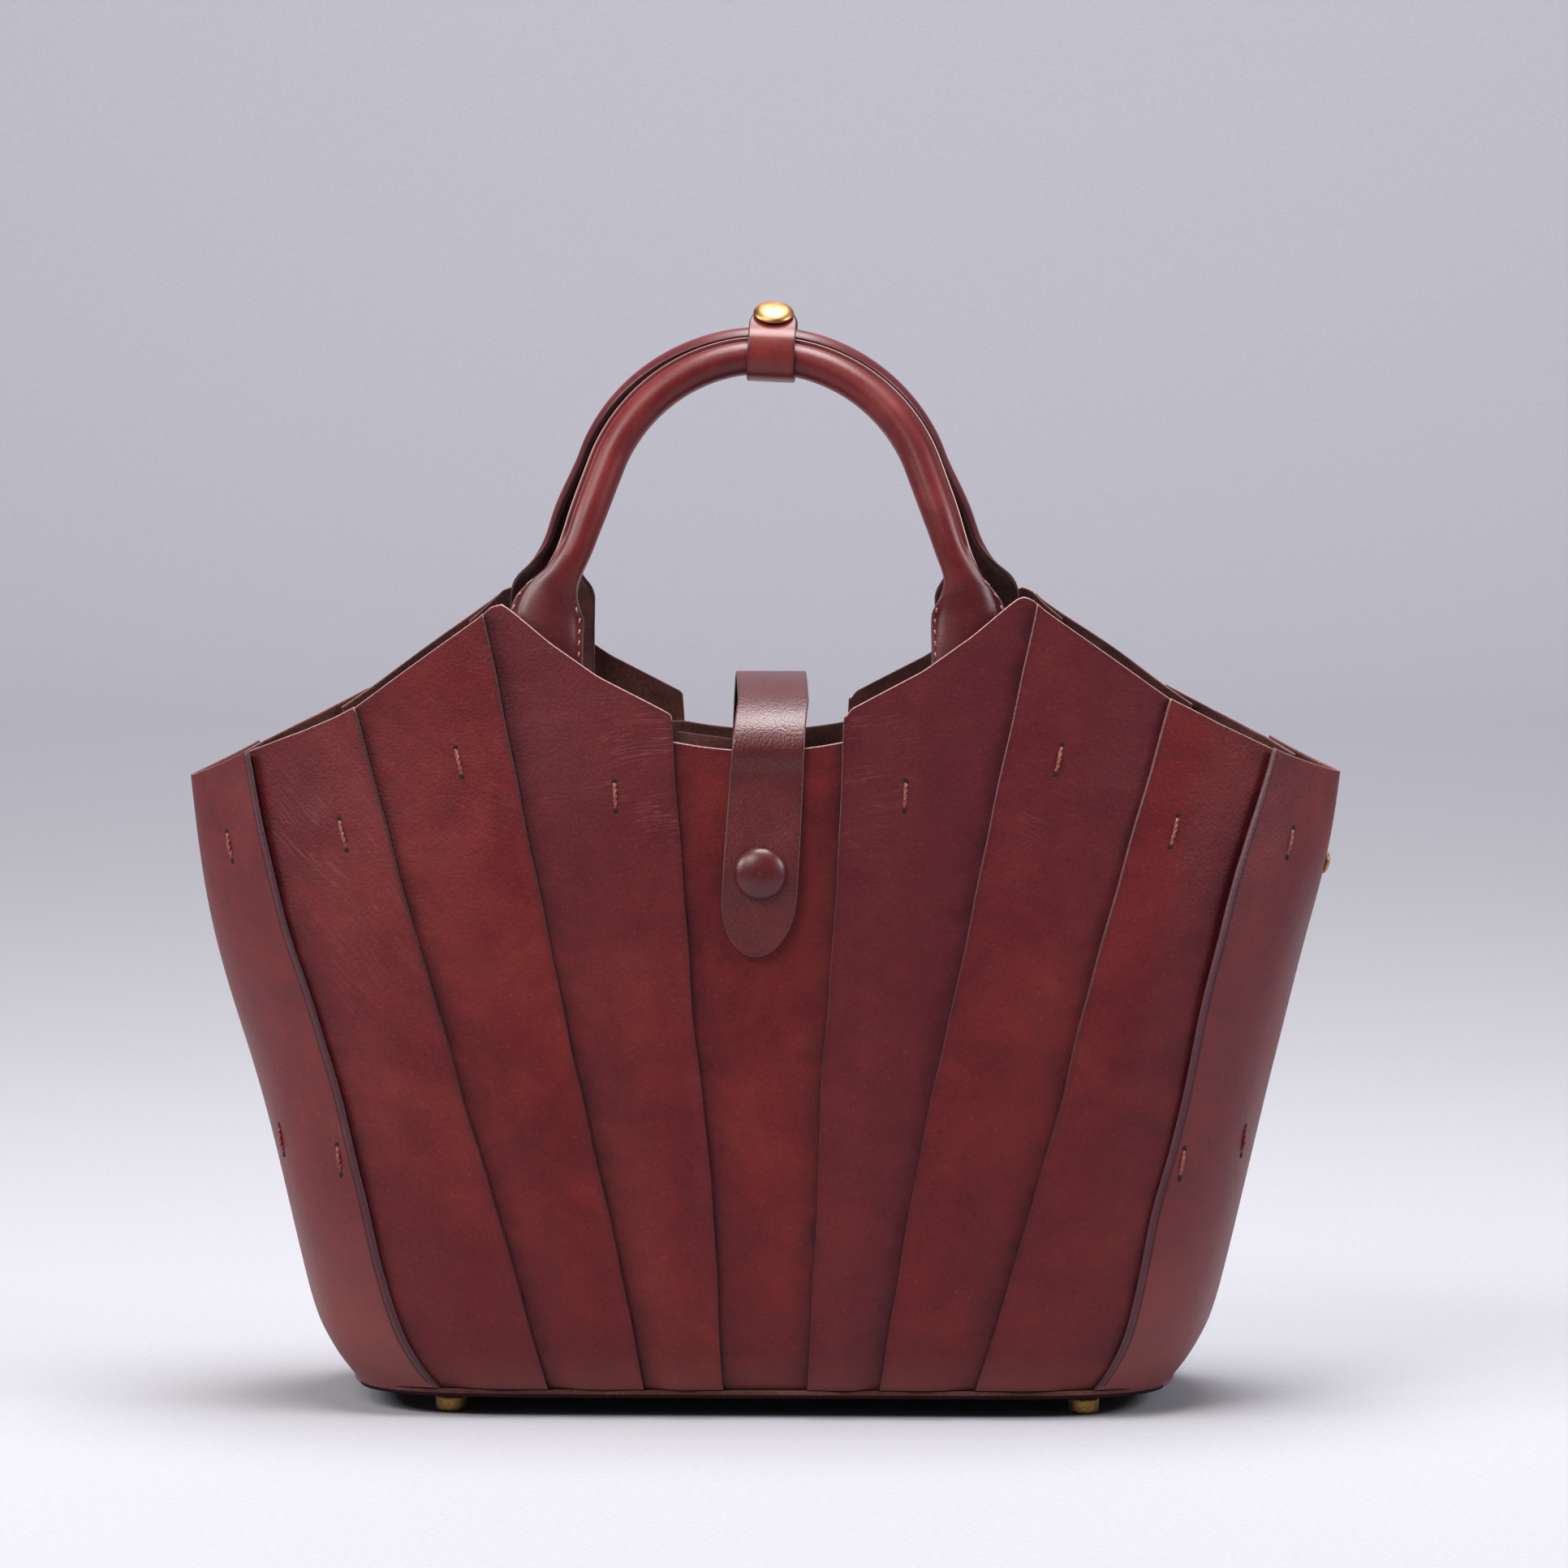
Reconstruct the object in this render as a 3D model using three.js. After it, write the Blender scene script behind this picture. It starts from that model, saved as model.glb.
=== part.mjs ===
// Leather satchel: upright leather strips overlapped like a fan on a flat base, two rolled handles held
// together by a keeper loop, a closure strap with a covered snap, and brass feet, studs and cap.
// Millimetres, +Z up, front of the bag towards -Y, origin on the floor under the middle of the bag.
import * as THREE from 'three';

// Driving dimensions
const gap = 0.3;
const wallThickness = 2.0;
const baseThickness = 2.6;
const baseUnderside = 7.0;
const baseProud = 0.3;
const wallBottom = baseUnderside + baseThickness + gap;
const lap = 12;
const lapGap = 0.5;
const lapOffset = wallThickness + lapGap;
const tuck = 1.5;
const sideSeamInset = 25.6;

// Inside of the wall at each height: half-width, half-depth and the powers of its outline in plan, from a
// rounded rectangle on the base (high powers) to a leaf-shaped opening at the rim (low powers)
const wallSections = [
  { height: 9, halfWidth: 143.0, halfDepth: 56.5, frontPower: 9.0, sidePower: 2.6 },
  { height: 18, halfWidth: 149.6, halfDepth: 59.9, frontPower: 9.0, sidePower: 2.6 },
  { height: 30, halfWidth: 156.0, halfDepth: 61.4, frontPower: 8.5, sidePower: 2.5 },
  { height: 48, halfWidth: 161.3, halfDepth: 61.5, frontPower: 7.8, sidePower: 2.4 },
  { height: 115, halfWidth: 177.3, halfDepth: 58.5, frontPower: 5.6, sidePower: 1.95 },
  { height: 180, halfWidth: 195.2, halfDepth: 53.8, frontPower: 4.0, sidePower: 1.5 },
  { height: 235, halfWidth: 203.6, halfDepth: 48.5, frontPower: 3.0, sidePower: 1.15 },
  { height: 290, halfWidth: 209.5, halfDepth: 41.0, frontPower: 2.6, sidePower: 1.1 },
];

// Straight seams of the front and back, from the middle outwards: distance from the middle low and high
const seams = [
  { low: 15.3, lowHeight: 10, high: 30.5, highHeight: 247 },
  { low: 42.0, lowHeight: 10, high: 98.5, highHeight: 282 },
  { low: 76.5, lowHeight: 10, high: 143.2, highHeight: 250 },
];

// Rim of the fanned panels: height at each distance out from the middle
const rimRows = [
  { out: 30.4, height: 245.0 },
  { out: 32.5, height: 249.0 },
  { out: 37.5, height: 251.8 },
  { out: 57.0, height: 262.0 },
  { out: 74.0, height: 273.8 },
  { out: 87.0, height: 284.4 },
  { out: 91.3, height: 287.5 },
  { out: 95.2, height: 286.4 },
  { out: 99.0, height: 282.8 },
  { out: 143.5, height: 250.7 },
  { out: 160.0, height: 242.0 },
  { out: 180.5, height: 232.7 },
  { out: 204.0, height: 222.5 },
];
const centerRim = { middle: 235, dip: 3 };

// Rows of facets up a panel, as parts of its height: close together where the wall turns under at the base
const panelSteps = [0, 0.02, 0.045, 0.08, 0.16, 0.37, 0.58, 0.79, 1];
const columnsApart = 0.02;
const acrossSteps = [-1, -0.5, 0, 0.5, 1];
const sideColumns = 8;
const baseCornerSteps = 12;
const rimSearch = { rounds: 24, pull: 0.7 };
const slopeSpan = 4;

const foot = { x: 112.5, y: 45, height: 6.7 };
const footProfile = [
  { radius: 3.6, level: 0 },
  { radius: 4.4, level: 0.5 },
  { radius: 4.65, level: 1.4 },
  { radius: 4.65, level: 4.8 },
  { radius: 4.2, level: 5.6 },
  { radius: 3.6, level: 6.0 },
  { radius: 3.6, level: foot.height },
];

// Handles: an arch in a plane that leans to the middle, straight legs, then flat tabs on the panels
const arch = { radius: 60, centerHeight: 312, turn: 72, steps: 9, topDepth: 7.2, lean: 0.376 };
const handleSides = 12;
const handles = [
  {
    name: 'handle_front',
    toBack: -1,
    halfWidth: 6.0,
    halfThickness: 6.0,
    archSpread: 0,
    legSpread: 0,
    tabSpread: 0,
    tabHalfWidth: 13.5,
  },
  {
    name: 'handle_back',
    toBack: 1,
    halfWidth: 8.2,
    halfThickness: 5.0,
    archSpread: 2.6,
    legSpread: 4.2,
    tabSpread: 2.4,
    tabHalfWidth: 16,
  },
];
const legRows = [
  { out: 62.6, height: 315.6, wider: 0, flat: 0 },
  { out: 66.4, height: 304.5, wider: 0.05, flat: 0.1 },
  { out: 69.9, height: 296.0, wider: 0.25, flat: 0.35 },
  { out: 72.8, height: 288.5, wider: 0.7, flat: 0.75 },
  { out: 74.2, height: 282.0, wider: 0.97, flat: 1 },
  { out: 74.6, height: 268.0, wider: 1, flat: 1 },
  { out: 74.6, height: 250.0, wider: 1, flat: 1 },
  { out: 74.6, height: 245.0, wider: 0.55, flat: 1 },
];
const tab = { halfThickness: 1.5, squareness: 0.4 };

// Keeper loop: the middle line of its leather seen from the side, wrapped round both handles
const keeper = { width: 16.8, thickness: 1.7, shift: 2.7, steps: 44 };
const keeperRows = [
  { depth: -7.2, height: 363.9 },
  { depth: -13.0, height: 366.3 },
  { depth: -14.8, height: 372.0 },
  { depth: -12.9, height: 378.6 },
  { depth: -7.5, height: 382.4 },
  { depth: 3.5, height: 388.4 },
  { depth: 7.8, height: 388.0 },
  { depth: 11.4, height: 384.0 },
  { depth: 13.6, height: 377.3 },
  { depth: 14.6, height: 370.0 },
  { depth: 13.5, height: 366.3 },
  { depth: 9.6, height: 363.8 },
  { depth: 1.5, height: 363.7 },
];
const keeperSlope = { from: 4, to: 5 };
const capProfile = [
  { radius: 6.4, level: 0 },
  { radius: 6.95, level: 0.6 },
  { radius: 6.6, level: 1.4 },
  { radius: 5.0, level: 2.2 },
  { radius: 2.6, level: 2.7 },
  { radius: 0, level: 2.85 },
];
const capSeat = 0.5;

// Closure strap: runs up the front, over the opening and down inside the back
const strap = {
  width: 26,
  thickness: 2.2,
  tip: 163,
  tipLength: 21,
  snapX: 0.3,
  snapHeight: 192.3,
  lean: 0.0586,
  leanEnd: 115,
  back: 196,
};
const strapFrontHeights = [strap.tip, 178, strap.snapHeight, 210, 226];
const strapArchRows = [
  { depth: -52.8, height: 236.0 },
  { depth: -49.2, height: 242.5 },
  { depth: -42.5, height: 248.2 },
  { depth: -33.0, height: 253.2 },
  { depth: -20.0, height: 257.2 },
  { depth: -6.0, height: 258.7 },
  { depth: 10.0, height: 256.8 },
  { depth: 26.0, height: 250.8 },
  { depth: 37.5, height: 243.0 },
  { depth: 44.4, height: 235.0 },
];
const strapBackHeights = [222, 209, strap.back];
const strapTipSteps = [0.4, 1.8, 4.2, 8.0, 13.5];
const strapStep = 11;
const strapBackSeat = 0.7;
const snapProfile = [
  { radius: 8.0, level: 0 },
  { radius: 8.8, level: 0.9 },
  { radius: 8.5, level: 2.0 },
  { radius: 7.0, level: 3.2 },
  { radius: 4.0, level: 4.1 },
  { radius: 0, level: 4.4 },
];

const facing = { halfWidth: 29, bottom: 165, rimMiddle: 237.7, rimSlope: -0.13, thickness: 1.2, seat: 0.6 };
const facingRows = 4;

// Low studs on the side panels behind the fold, the left one set further back
const studHeight = 192;
const studDepths = { left: 10, right: 2.5 };
const studProfile = [
  { radius: 4.1, level: 0 },
  { radius: 4.3, level: 0.5 },
  { radius: 3.9, level: 1.2 },
  { radius: 2.6, level: 1.8 },
  { radius: 0, level: 2.05 },
];
const latheSegments = 16;

// Finishes
const grainLeather = { color: 0x602628, roughness: 0.48, metalness: 0 };
const handleLeather = { color: 0x6b2a2a, roughness: 0.36, metalness: 0 };
const edgeLeather = { color: 0x3a1a20, roughness: 0.6, metalness: 0 };
const suede = { color: 0x39211f, roughness: 0.9, metalness: 0 };
const brass = { color: 0xc99a55, roughness: 0.28, metalness: 1 };

// Value of one column of a table at a place between its rows, along a smooth cubic through the rows
function readSmooth(rows, key, column, place) {
  const last = rows.length - 1;
  const slope = (i) => {
    const low = rows[Math.max(i - 1, 0)];
    const high = rows[Math.min(i + 1, last)];
    return (high[column] - low[column]) / (high[key] - low[key]);
  };
  let i = 0;
  while (i < last - 1 && rows[i + 1][key] < place) i += 1;
  const step = rows[i + 1][key] - rows[i][key];
  const u = THREE.MathUtils.clamp((place - rows[i][key]) / step, 0, 1);
  const fall = (1 + 2 * u) * (1 - u) ** 2;
  const startPull = step * slope(i) * u * (1 - u) ** 2;
  const endPull = step * slope(i + 1) * u ** 2 * (u - 1);
  return rows[i][column] * fall + rows[i + 1][column] * (1 - fall) + startPull + endPull;
}

// Value of one column on straight lines between the rows
function readStraight(rows, key, column, place) {
  const last = rows.length - 1;
  let i = 0;
  while (i < last - 1 && rows[i + 1][key] < place) i += 1;
  const u = (place - rows[i][key]) / (rows[i + 1][key] - rows[i][key]);
  return THREE.MathUtils.lerp(rows[i][column], rows[i + 1][column], THREE.MathUtils.clamp(u, 0, 1));
}

const halfWidthAt = (height) => readSmooth(wallSections, 'height', 'halfWidth', height);
const halfDepthAt = (height) => readSmooth(wallSections, 'height', 'halfDepth', height);
const frontPowerAt = (height) => readSmooth(wallSections, 'height', 'frontPower', height);
const sidePowerAt = (height) => readSmooth(wallSections, 'height', 'sidePower', height);

// Turn round the outline, 0 at the front's middle and a right angle at the side, for a distance out
function turnAt(out, height) {
  const part = Math.min(Math.abs(out) / halfWidthAt(height), 1);
  return Math.sign(out) * Math.asin(part ** (frontPowerAt(height) / 2));
}

// Point of the wall at a turn, |x / halfWidth|^frontPower + |y / halfDepth|^sidePower = 1, moved outwards
function wallPoint(turn, height, offset) {
  const [halfWidth, halfDepth] = [halfWidthAt(height), halfDepthAt(height)];
  const [front, side] = [frontPowerAt(height), sidePowerAt(height)];
  const [s, c] = [Math.sin(Math.abs(turn)), Math.max(Math.cos(turn), 0)];
  const outwards = new THREE.Vector2(
    front / halfWidth * s ** (2 - 2 / front),
    -side / halfDepth * c ** (2 - 2 / side),
  ).setLength(offset);
  const x = halfWidth * s ** (2 / front) + outwards.x;
  return new THREE.Vector3(Math.sign(turn || 1) * x, -halfDepth * c ** (2 / side) + outwards.y, height);
}

// Distance of a seam out from the middle; the last seam keeps its distance from the side
function seamAt(number, height) {
  if (number > seams.length) return halfWidthAt(height) - sideSeamInset;
  const seam = seams[number - 1];
  const rise = (height - seam.lowHeight) / (seam.highHeight - seam.lowHeight);
  return THREE.MathUtils.lerp(seam.low, seam.high, rise);
}

// Closed body from corner points and triangles, its faces turned outwards
function solid(points, triangles) {
  const volume = triangles.reduce((sum, [a, b, c]) => {
    const cross = new THREE.Vector3().crossVectors(points[b], points[c]);
    return sum + points[a].dot(cross);
  }, 0);
  const facingOut = volume > 0 ? triangles : triangles.map(([a, b, c]) => [a, c, b]);
  const geometry = new THREE.BufferGeometry().setFromPoints(points);
  geometry.setIndex(facingOut.flat());
  geometry.computeVertexNormals();
  return geometry;
}

// Sheet of leather between an outer and an inner grid of points, closed round its edge
function sheet(columns, rows, outerPoint, innerPoint) {
  const at = (i, j) => j * columns + i;
  const count = columns * rows;
  const points = [];
  for (const point of [outerPoint, innerPoint]) {
    for (let j = 0; j < rows; j += 1) {
      for (let i = 0; i < columns; i += 1) points.push(point(i, j));
    }
  }
  const triangles = [];
  for (let j = 0; j + 1 < rows; j += 1) {
    for (let i = 0; i + 1 < columns; i += 1) {
      const [a, b, c, d] = [at(i, j), at(i + 1, j), at(i + 1, j + 1), at(i, j + 1)];
      triangles.push([a, b, c], [a, c, d]);
      triangles.push([a + count, c + count, b + count], [a + count, d + count, c + count]);
    }
  }
  const edge = [];
  for (let i = 0; i + 1 < columns; i += 1) edge.push(at(i, 0));
  for (let j = 0; j + 1 < rows; j += 1) edge.push(at(columns - 1, j));
  for (let i = columns - 1; i > 0; i -= 1) edge.push(at(i, rows - 1));
  for (let j = rows - 1; j > 0; j -= 1) edge.push(at(0, j));
  edge.forEach((a, i) => {
    const b = edge[(i + 1) % edge.length];
    triangles.push([b, a, a + count], [b, a + count, b + count]);
  });
  return solid(points, triangles);
}

// Wall panel: a sheet whose point function is given the distance out from the panel's inner face
function panelSheet(columns, point) {
  const outer = (i, j) => point(i, j, wallThickness);
  const inner = (i, j) => point(i, j, 0);
  return sheet(columns, panelSteps.length, outer, inner);
}

const satchel = new THREE.Group();

function addPiece(name, geometry, finish, parent = satchel) {
  const mesh = new THREE.Mesh(geometry, new THREE.MeshStandardMaterial(finish));
  mesh.name = name;
  parent.add(mesh);
  return mesh;
}

// Fanned panels: each runs from its own seam to a lap beyond the next one, raised over the neighbour
// nearer the middle and lying flat on the wall where the outer neighbour covers it
function panelColumns(number) {
  const top = readStraight(rimRows, 'out', 'height', seamAt(number, centerRim.middle));
  const start = seamAt(number, top);
  const nextSeam = seamAt(number + 1, top);
  const width = nextSeam + lap - start;
  const inside = rimRows.map((row) => row.out).filter((out) => out > start + 1 && out < nextSeam - 1);
  const lapped = [start, start + lap, nextSeam, nextSeam + lap / 2, start + width];
  const places = [...lapped, ...inside, (start + nextSeam) / 2];
  const parts = places.map((place) => (place - start) / width).sort((a, b) => a - b);
  return parts.filter((part, i) => i === 0 || part - parts[i - 1] > columnsApart);
}

function panelOut(number, part, height) {
  return THREE.MathUtils.lerp(seamAt(number, height), seamAt(number + 1, height) + lap, part);
}

// Height of a panel's rim above one column, lowered where the next panel covers it
function panelTop(number, part) {
  let height = centerRim.middle;
  for (let round = 0; round < rimSearch.rounds; round += 1) {
    const out = panelOut(number, part, height);
    const covered = THREE.MathUtils.clamp((out - seamAt(number + 1, height)) / lap, 0, 1);
    const rim = readStraight(rimRows, 'out', 'height', out) - tuck * covered;
    height = THREE.MathUtils.lerp(height, rim, rimSearch.pull);
  }
  return height;
}

function fannedPanel(number, toRight, toBack) {
  const parts = panelColumns(number);
  const tops = parts.map((part) => panelTop(number, part));
  const point = (i, j, thickness) => {
    const height = THREE.MathUtils.lerp(wallBottom, tops[i], panelSteps[j]);
    const width = seamAt(number + 1, height) + lap - seamAt(number, height);
    const raised = lapOffset * (1 - THREE.MathUtils.smoothstep(parts[i] * width, lap, width - lap));
    const turn = turnAt(panelOut(number, parts[i], height), height);
    return wallPoint(turn, height, raised + thickness).multiply(new THREE.Vector3(toRight, -toBack, 1));
  };
  return panelSheet(parts.length, point);
}

// Center panel: tucked under its neighbours on both sides, its rim dipped in the middle
function centerPanel(toBack) {
  const seam = seamAt(1, centerRim.middle);
  const tops = acrossSteps.map((part) => {
    const toSeam = Math.min(Math.abs(part) * (seam + lap) / seam, 1);
    return centerRim.middle + centerRim.dip * toSeam ** 2;
  });
  const point = (i, j, thickness) => {
    const height = THREE.MathUtils.lerp(wallBottom, tops[i], panelSteps[j]);
    const turn = turnAt(acrossSteps[i] * (seamAt(1, height) + lap), height);
    return wallPoint(turn, height, thickness).multiply(new THREE.Vector3(1, -toBack, 1));
  };
  return panelSheet(acrossSteps.length, point);
}

// Side panel: from the last seam on the front round the side to the last seam on the back
function sidePanel(toRight) {
  const number = seams.length + 1;
  const point = (i, j, thickness) => {
    const toSide = 1 - Math.abs(i - sideColumns) / sideColumns;
    const turnOf = (height) => {
      return THREE.MathUtils.lerp(turnAt(seamAt(number, height), height), Math.PI / 2, toSide);
    };
    const rimOut = wallPoint(turnOf(centerRim.middle), centerRim.middle, 0).x;
    const top = readStraight(rimRows, 'out', 'height', rimOut);
    const height = THREE.MathUtils.lerp(wallBottom, top, panelSteps[j]);
    const place = wallPoint(turnOf(height), height, lapOffset + thickness);
    return place.multiply(new THREE.Vector3(toRight, i > sideColumns ? -1 : 1, 1));
  };
  return panelSheet(2 * sideColumns + 1, point);
}

const faces = [{ name: 'front', toBack: -1 }, { name: 'back', toBack: 1 }];
const sides = [{ name: 'left', toRight: -1 }, { name: 'right', toRight: 1 }];
for (const face of faces) {
  addPiece(`${face.name}_center_panel`, centerPanel(face.toBack), grainLeather);
  for (const side of sides) {
    for (let number = 1; number <= seams.length; number += 1) {
      const panel = fannedPanel(number, side.toRight, face.toBack);
      addPiece(`${face.name}_${side.name}_panel_${number}`, panel, grainLeather);
    }
  }
}
for (const side of sides) {
  addPiece(`side_${side.name}_panel`, sidePanel(side.toRight), grainLeather);
}

// Base: the wall's outline at its foot, a little proud of the panels
function basePanel() {
  const reach = lapOffset + wallThickness + baseProud;
  const frontRight = Array.from({ length: baseCornerSteps + 1 }, (unused, i) => {
    const place = wallPoint(Math.PI / 2 * i / baseCornerSteps, wallBottom, reach);
    return new THREE.Vector2(place.x, place.y);
  });
  const backRight = frontRight.slice(0, -1).reverse().map((place) => new THREE.Vector2(place.x, -place.y));
  const right = [...frontRight, ...backRight];
  const left = right.slice(1, -1).reverse().map((place) => new THREE.Vector2(-place.x, place.y));
  const outline = new THREE.Shape([...right, ...left]);
  const geometry = new THREE.ExtrudeGeometry(outline, { depth: baseThickness, bevelEnabled: false });
  return geometry.translate(0, 0, baseUnderside);
}
addPiece('base_panel', basePanel(), edgeLeather);

// Turned piece: a profile from the axis at its foot to the axis at its crown, pointing along +Y
function turned(profile) {
  const last = profile[profile.length - 1];
  const points = profile.map((row) => new THREE.Vector2(row.radius, row.level));
  points.unshift(new THREE.Vector2(0, profile[0].level));
  if (last.radius > 0) points.push(new THREE.Vector2(0, last.level));
  return new THREE.LatheGeometry(points, latheSegments);
}

// Seats a turned piece at a place with its axis along a direction
function seat(mesh, place, direction) {
  mesh.position.copy(place);
  mesh.quaternion.setFromUnitVectors(new THREE.Vector3(0, 1, 0), direction.clone().normalize());
}

for (const face of faces) {
  for (const side of sides) {
    const mesh = addPiece(`foot_${face.name}_${side.name}`, turned(footProfile), brass);
    seat(mesh, new THREE.Vector3(side.toRight * foot.x, face.toBack * foot.y, 0), new THREE.Vector3(0, 0, 1));
  }
}

// Stations of half a handle from the top of the arch to the end of its tab
function handleStations(handle) {
  const stations = [];
  for (let i = 0; i <= arch.steps; i += 1) {
    const turn = THREE.MathUtils.degToRad(arch.turn * i / arch.steps);
    const radius = arch.radius + handle.archSpread;
    const height = arch.centerHeight + radius * Math.cos(turn);
    stations.push({ out: radius * Math.sin(turn), height, wider: 0, flat: 0 });
  }
  for (const row of legRows) {
    const spread = THREE.MathUtils.lerp(handle.legSpread, handle.tabSpread, row.wider);
    stations.push({ ...row, out: row.out + spread });
  }
  return stations.map((row) => {
    const halfThickness = THREE.MathUtils.lerp(handle.halfThickness, tab.halfThickness, row.flat);
    const halfWidth = THREE.MathUtils.lerp(handle.halfWidth, handle.tabHalfWidth, row.wider);
    const leaning = arch.topDepth + arch.lean * (arch.centerHeight + arch.radius - row.height);
    const wallDepth = -wallPoint(turnAt(row.out + halfWidth, row.height), row.height, 0).y;
    const onWall = wallDepth - gap - halfThickness;
    const depth = handle.toBack * Math.min(leaning, onWall);
    return { place: new THREE.Vector3(row.out, depth, row.height), halfWidth, halfThickness, flat: row.flat };
  });
}

// Rolled handle: a round section that flattens to a square-edged tab, carried along the arch
function rolledHandle(handle) {
  const half = handleStations(handle);
  const mirrored = half.slice(1).reverse().map((station) => {
    return { ...station, place: station.place.clone().multiply(new THREE.Vector3(-1, 1, 1)) };
  });
  const stations = [...mirrored, ...half];
  const outwards = new THREE.Vector3(0, handle.toBack, arch.lean);
  const points = [];
  stations.forEach((station, i) => {
    const before = stations[Math.max(i - 1, 0)].place;
    const after = stations[Math.min(i + 1, stations.length - 1)].place;
    const along = new THREE.Vector3().subVectors(after, before).normalize();
    const across = new THREE.Vector3().crossVectors(outwards, along).normalize();
    const through = new THREE.Vector3().crossVectors(along, across);
    const squareness = THREE.MathUtils.lerp(1, tab.squareness, station.flat);
    for (let k = 0; k < handleSides; k += 1) {
      const angle = 2 * Math.PI * (k + 0.5) / handleSides;
      const [c, s] = [Math.cos(angle), Math.sin(angle)];
      const wide = station.halfWidth * Math.sign(c) * Math.abs(c) ** squareness;
      const thick = station.halfThickness * Math.sign(s) * Math.abs(s) ** squareness;
      points.push(station.place.clone().addScaledVector(across, wide).addScaledVector(through, thick));
    }
  });
  const triangles = [];
  for (let i = 0; i + 1 < stations.length; i += 1) {
    for (let k = 0; k < handleSides; k += 1) {
      const [a, b] = [i * handleSides + k, i * handleSides + (k + 1) % handleSides];
      triangles.push([a, b, b + handleSides], [a, b + handleSides, a + handleSides]);
    }
  }
  const lastRing = (stations.length - 1) * handleSides;
  for (let k = 1; k + 1 < handleSides; k += 1) {
    triangles.push([0, k + 1, k], [lastRing, lastRing + k, lastRing + k + 1]);
  }
  return solid(points, triangles);
}
for (const handle of handles) {
  addPiece(handle.name, rolledHandle(handle), handleLeather);
}

// Keeper loop and its cap sit a little to one side of the arch's top, turned with it
const keeperGroup = new THREE.Group();
keeperGroup.position.z = arch.centerHeight;
keeperGroup.rotation.y = Math.asin(keeper.shift / arch.radius);
satchel.add(keeperGroup);

function keeperLoop() {
  const places = keeperRows.map((row) => new THREE.Vector3(row.depth, row.height - arch.centerHeight, 0));
  const middleLine = new THREE.CatmullRomCurve3(places, true, 'centripetal');
  const line = (offset) => Array.from({ length: keeper.steps }, (unused, i) => {
    const place = middleLine.getPointAt(i / keeper.steps);
    const along = middleLine.getTangentAt(i / keeper.steps);
    return new THREE.Vector2(place.x - offset * along.y, place.y + offset * along.x);
  });
  const outline = new THREE.Shape(line(keeper.thickness / 2));
  outline.holes.push(new THREE.Path(line(-keeper.thickness / 2).reverse()));
  const geometry = new THREE.ExtrudeGeometry(outline, { depth: keeper.width, bevelEnabled: false });
  const [x, y, z] = [new THREE.Vector3(1, 0, 0), new THREE.Vector3(0, 1, 0), new THREE.Vector3(0, 0, 1)];
  geometry.translate(0, 0, -keeper.width / 2);
  return geometry.applyMatrix4(new THREE.Matrix4().makeBasis(y, z, x));
}
addPiece('handle_keeper', keeperLoop(), handleLeather, keeperGroup);

const slopeFrom = keeperRows[keeperSlope.from];
const slopeTo = keeperRows[keeperSlope.to];
const slopeNormal = new THREE.Vector3(
  0,
  slopeFrom.height - slopeTo.height,
  slopeTo.depth - slopeFrom.depth,
).normalize();
const slopeMiddle = new THREE.Vector3(
  0,
  (slopeFrom.depth + slopeTo.depth) / 2,
  (slopeFrom.height + slopeTo.height) / 2 - arch.centerHeight,
);
const capPlace = slopeMiddle.addScaledVector(slopeNormal, keeper.thickness / 2 + capSeat);
seat(addPiece('keeper_cap', turned(capProfile), brass, keeperGroup), capPlace, slopeNormal);

// Closure strap: its middle line seen from the side, with a long rounded end on the front
function strapLine() {
  const frontDepth = (height) => -(halfDepthAt(height) + wallThickness + gap + strap.thickness / 2);
  const backDepth = (height) => halfDepthAt(height) - strapBackSeat - strap.thickness / 2;
  const places = [
    ...strapFrontHeights.map((height) => new THREE.Vector3(0, frontDepth(height), height)),
    ...strapArchRows.map((row) => new THREE.Vector3(0, row.depth, row.height)),
    ...strapBackHeights.map((height) => new THREE.Vector3(0, backDepth(height), height)),
  ];
  return new THREE.CatmullRomCurve3(places, false, 'centripetal');
}

function closureStrap() {
  const line = strapLine();
  const length = line.getLength();
  const snapAlong = strap.snapHeight - strap.tip;
  const places = [...strapTipSteps];
  const spans = Math.round((length - strap.tipLength) / strapStep);
  for (let i = 0; i <= spans; i += 1) places.push(THREE.MathUtils.lerp(strap.tipLength, length, i / spans));
  const point = (i, j, offset) => {
    const place = line.getPointAt(places[j] / length);
    const along = line.getTangentAt(places[j] / length);
    const inTip = Math.max(1 - places[j] / strap.tipLength, 0);
    const halfWidth = strap.width / 2 * Math.sqrt(1 - inTip ** 2);
    const leaning = Math.min(places[j], strap.leanEnd) - snapAlong;
    const x = strap.snapX + strap.lean * leaning + acrossSteps[i] * halfWidth;
    return new THREE.Vector3(x, place.y - offset * along.z, place.z + offset * along.y);
  };
  const outer = (i, j) => point(i, j, strap.thickness / 2);
  const inner = (i, j) => point(i, j, -strap.thickness / 2);
  return sheet(acrossSteps.length, places.length, outer, inner);
}
addPiece('closure_strap', closureStrap(), grainLeather);

// Outward direction of the front wall at a height, which leans back as it rises
function frontNormal(height) {
  const fall = (halfDepthAt(height - slopeSpan) - halfDepthAt(height + slopeSpan)) / (2 * slopeSpan);
  return new THREE.Vector3(0, -1, fall).normalize();
}
const snapDepth = halfDepthAt(strap.snapHeight) + wallThickness + strap.thickness + 2 * gap;
const snapPlace = new THREE.Vector3(strap.snapX, -snapDepth, strap.snapHeight);
seat(addPiece('snap_cap', turned(snapProfile), grainLeather), snapPlace, frontNormal(strap.snapHeight));

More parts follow.
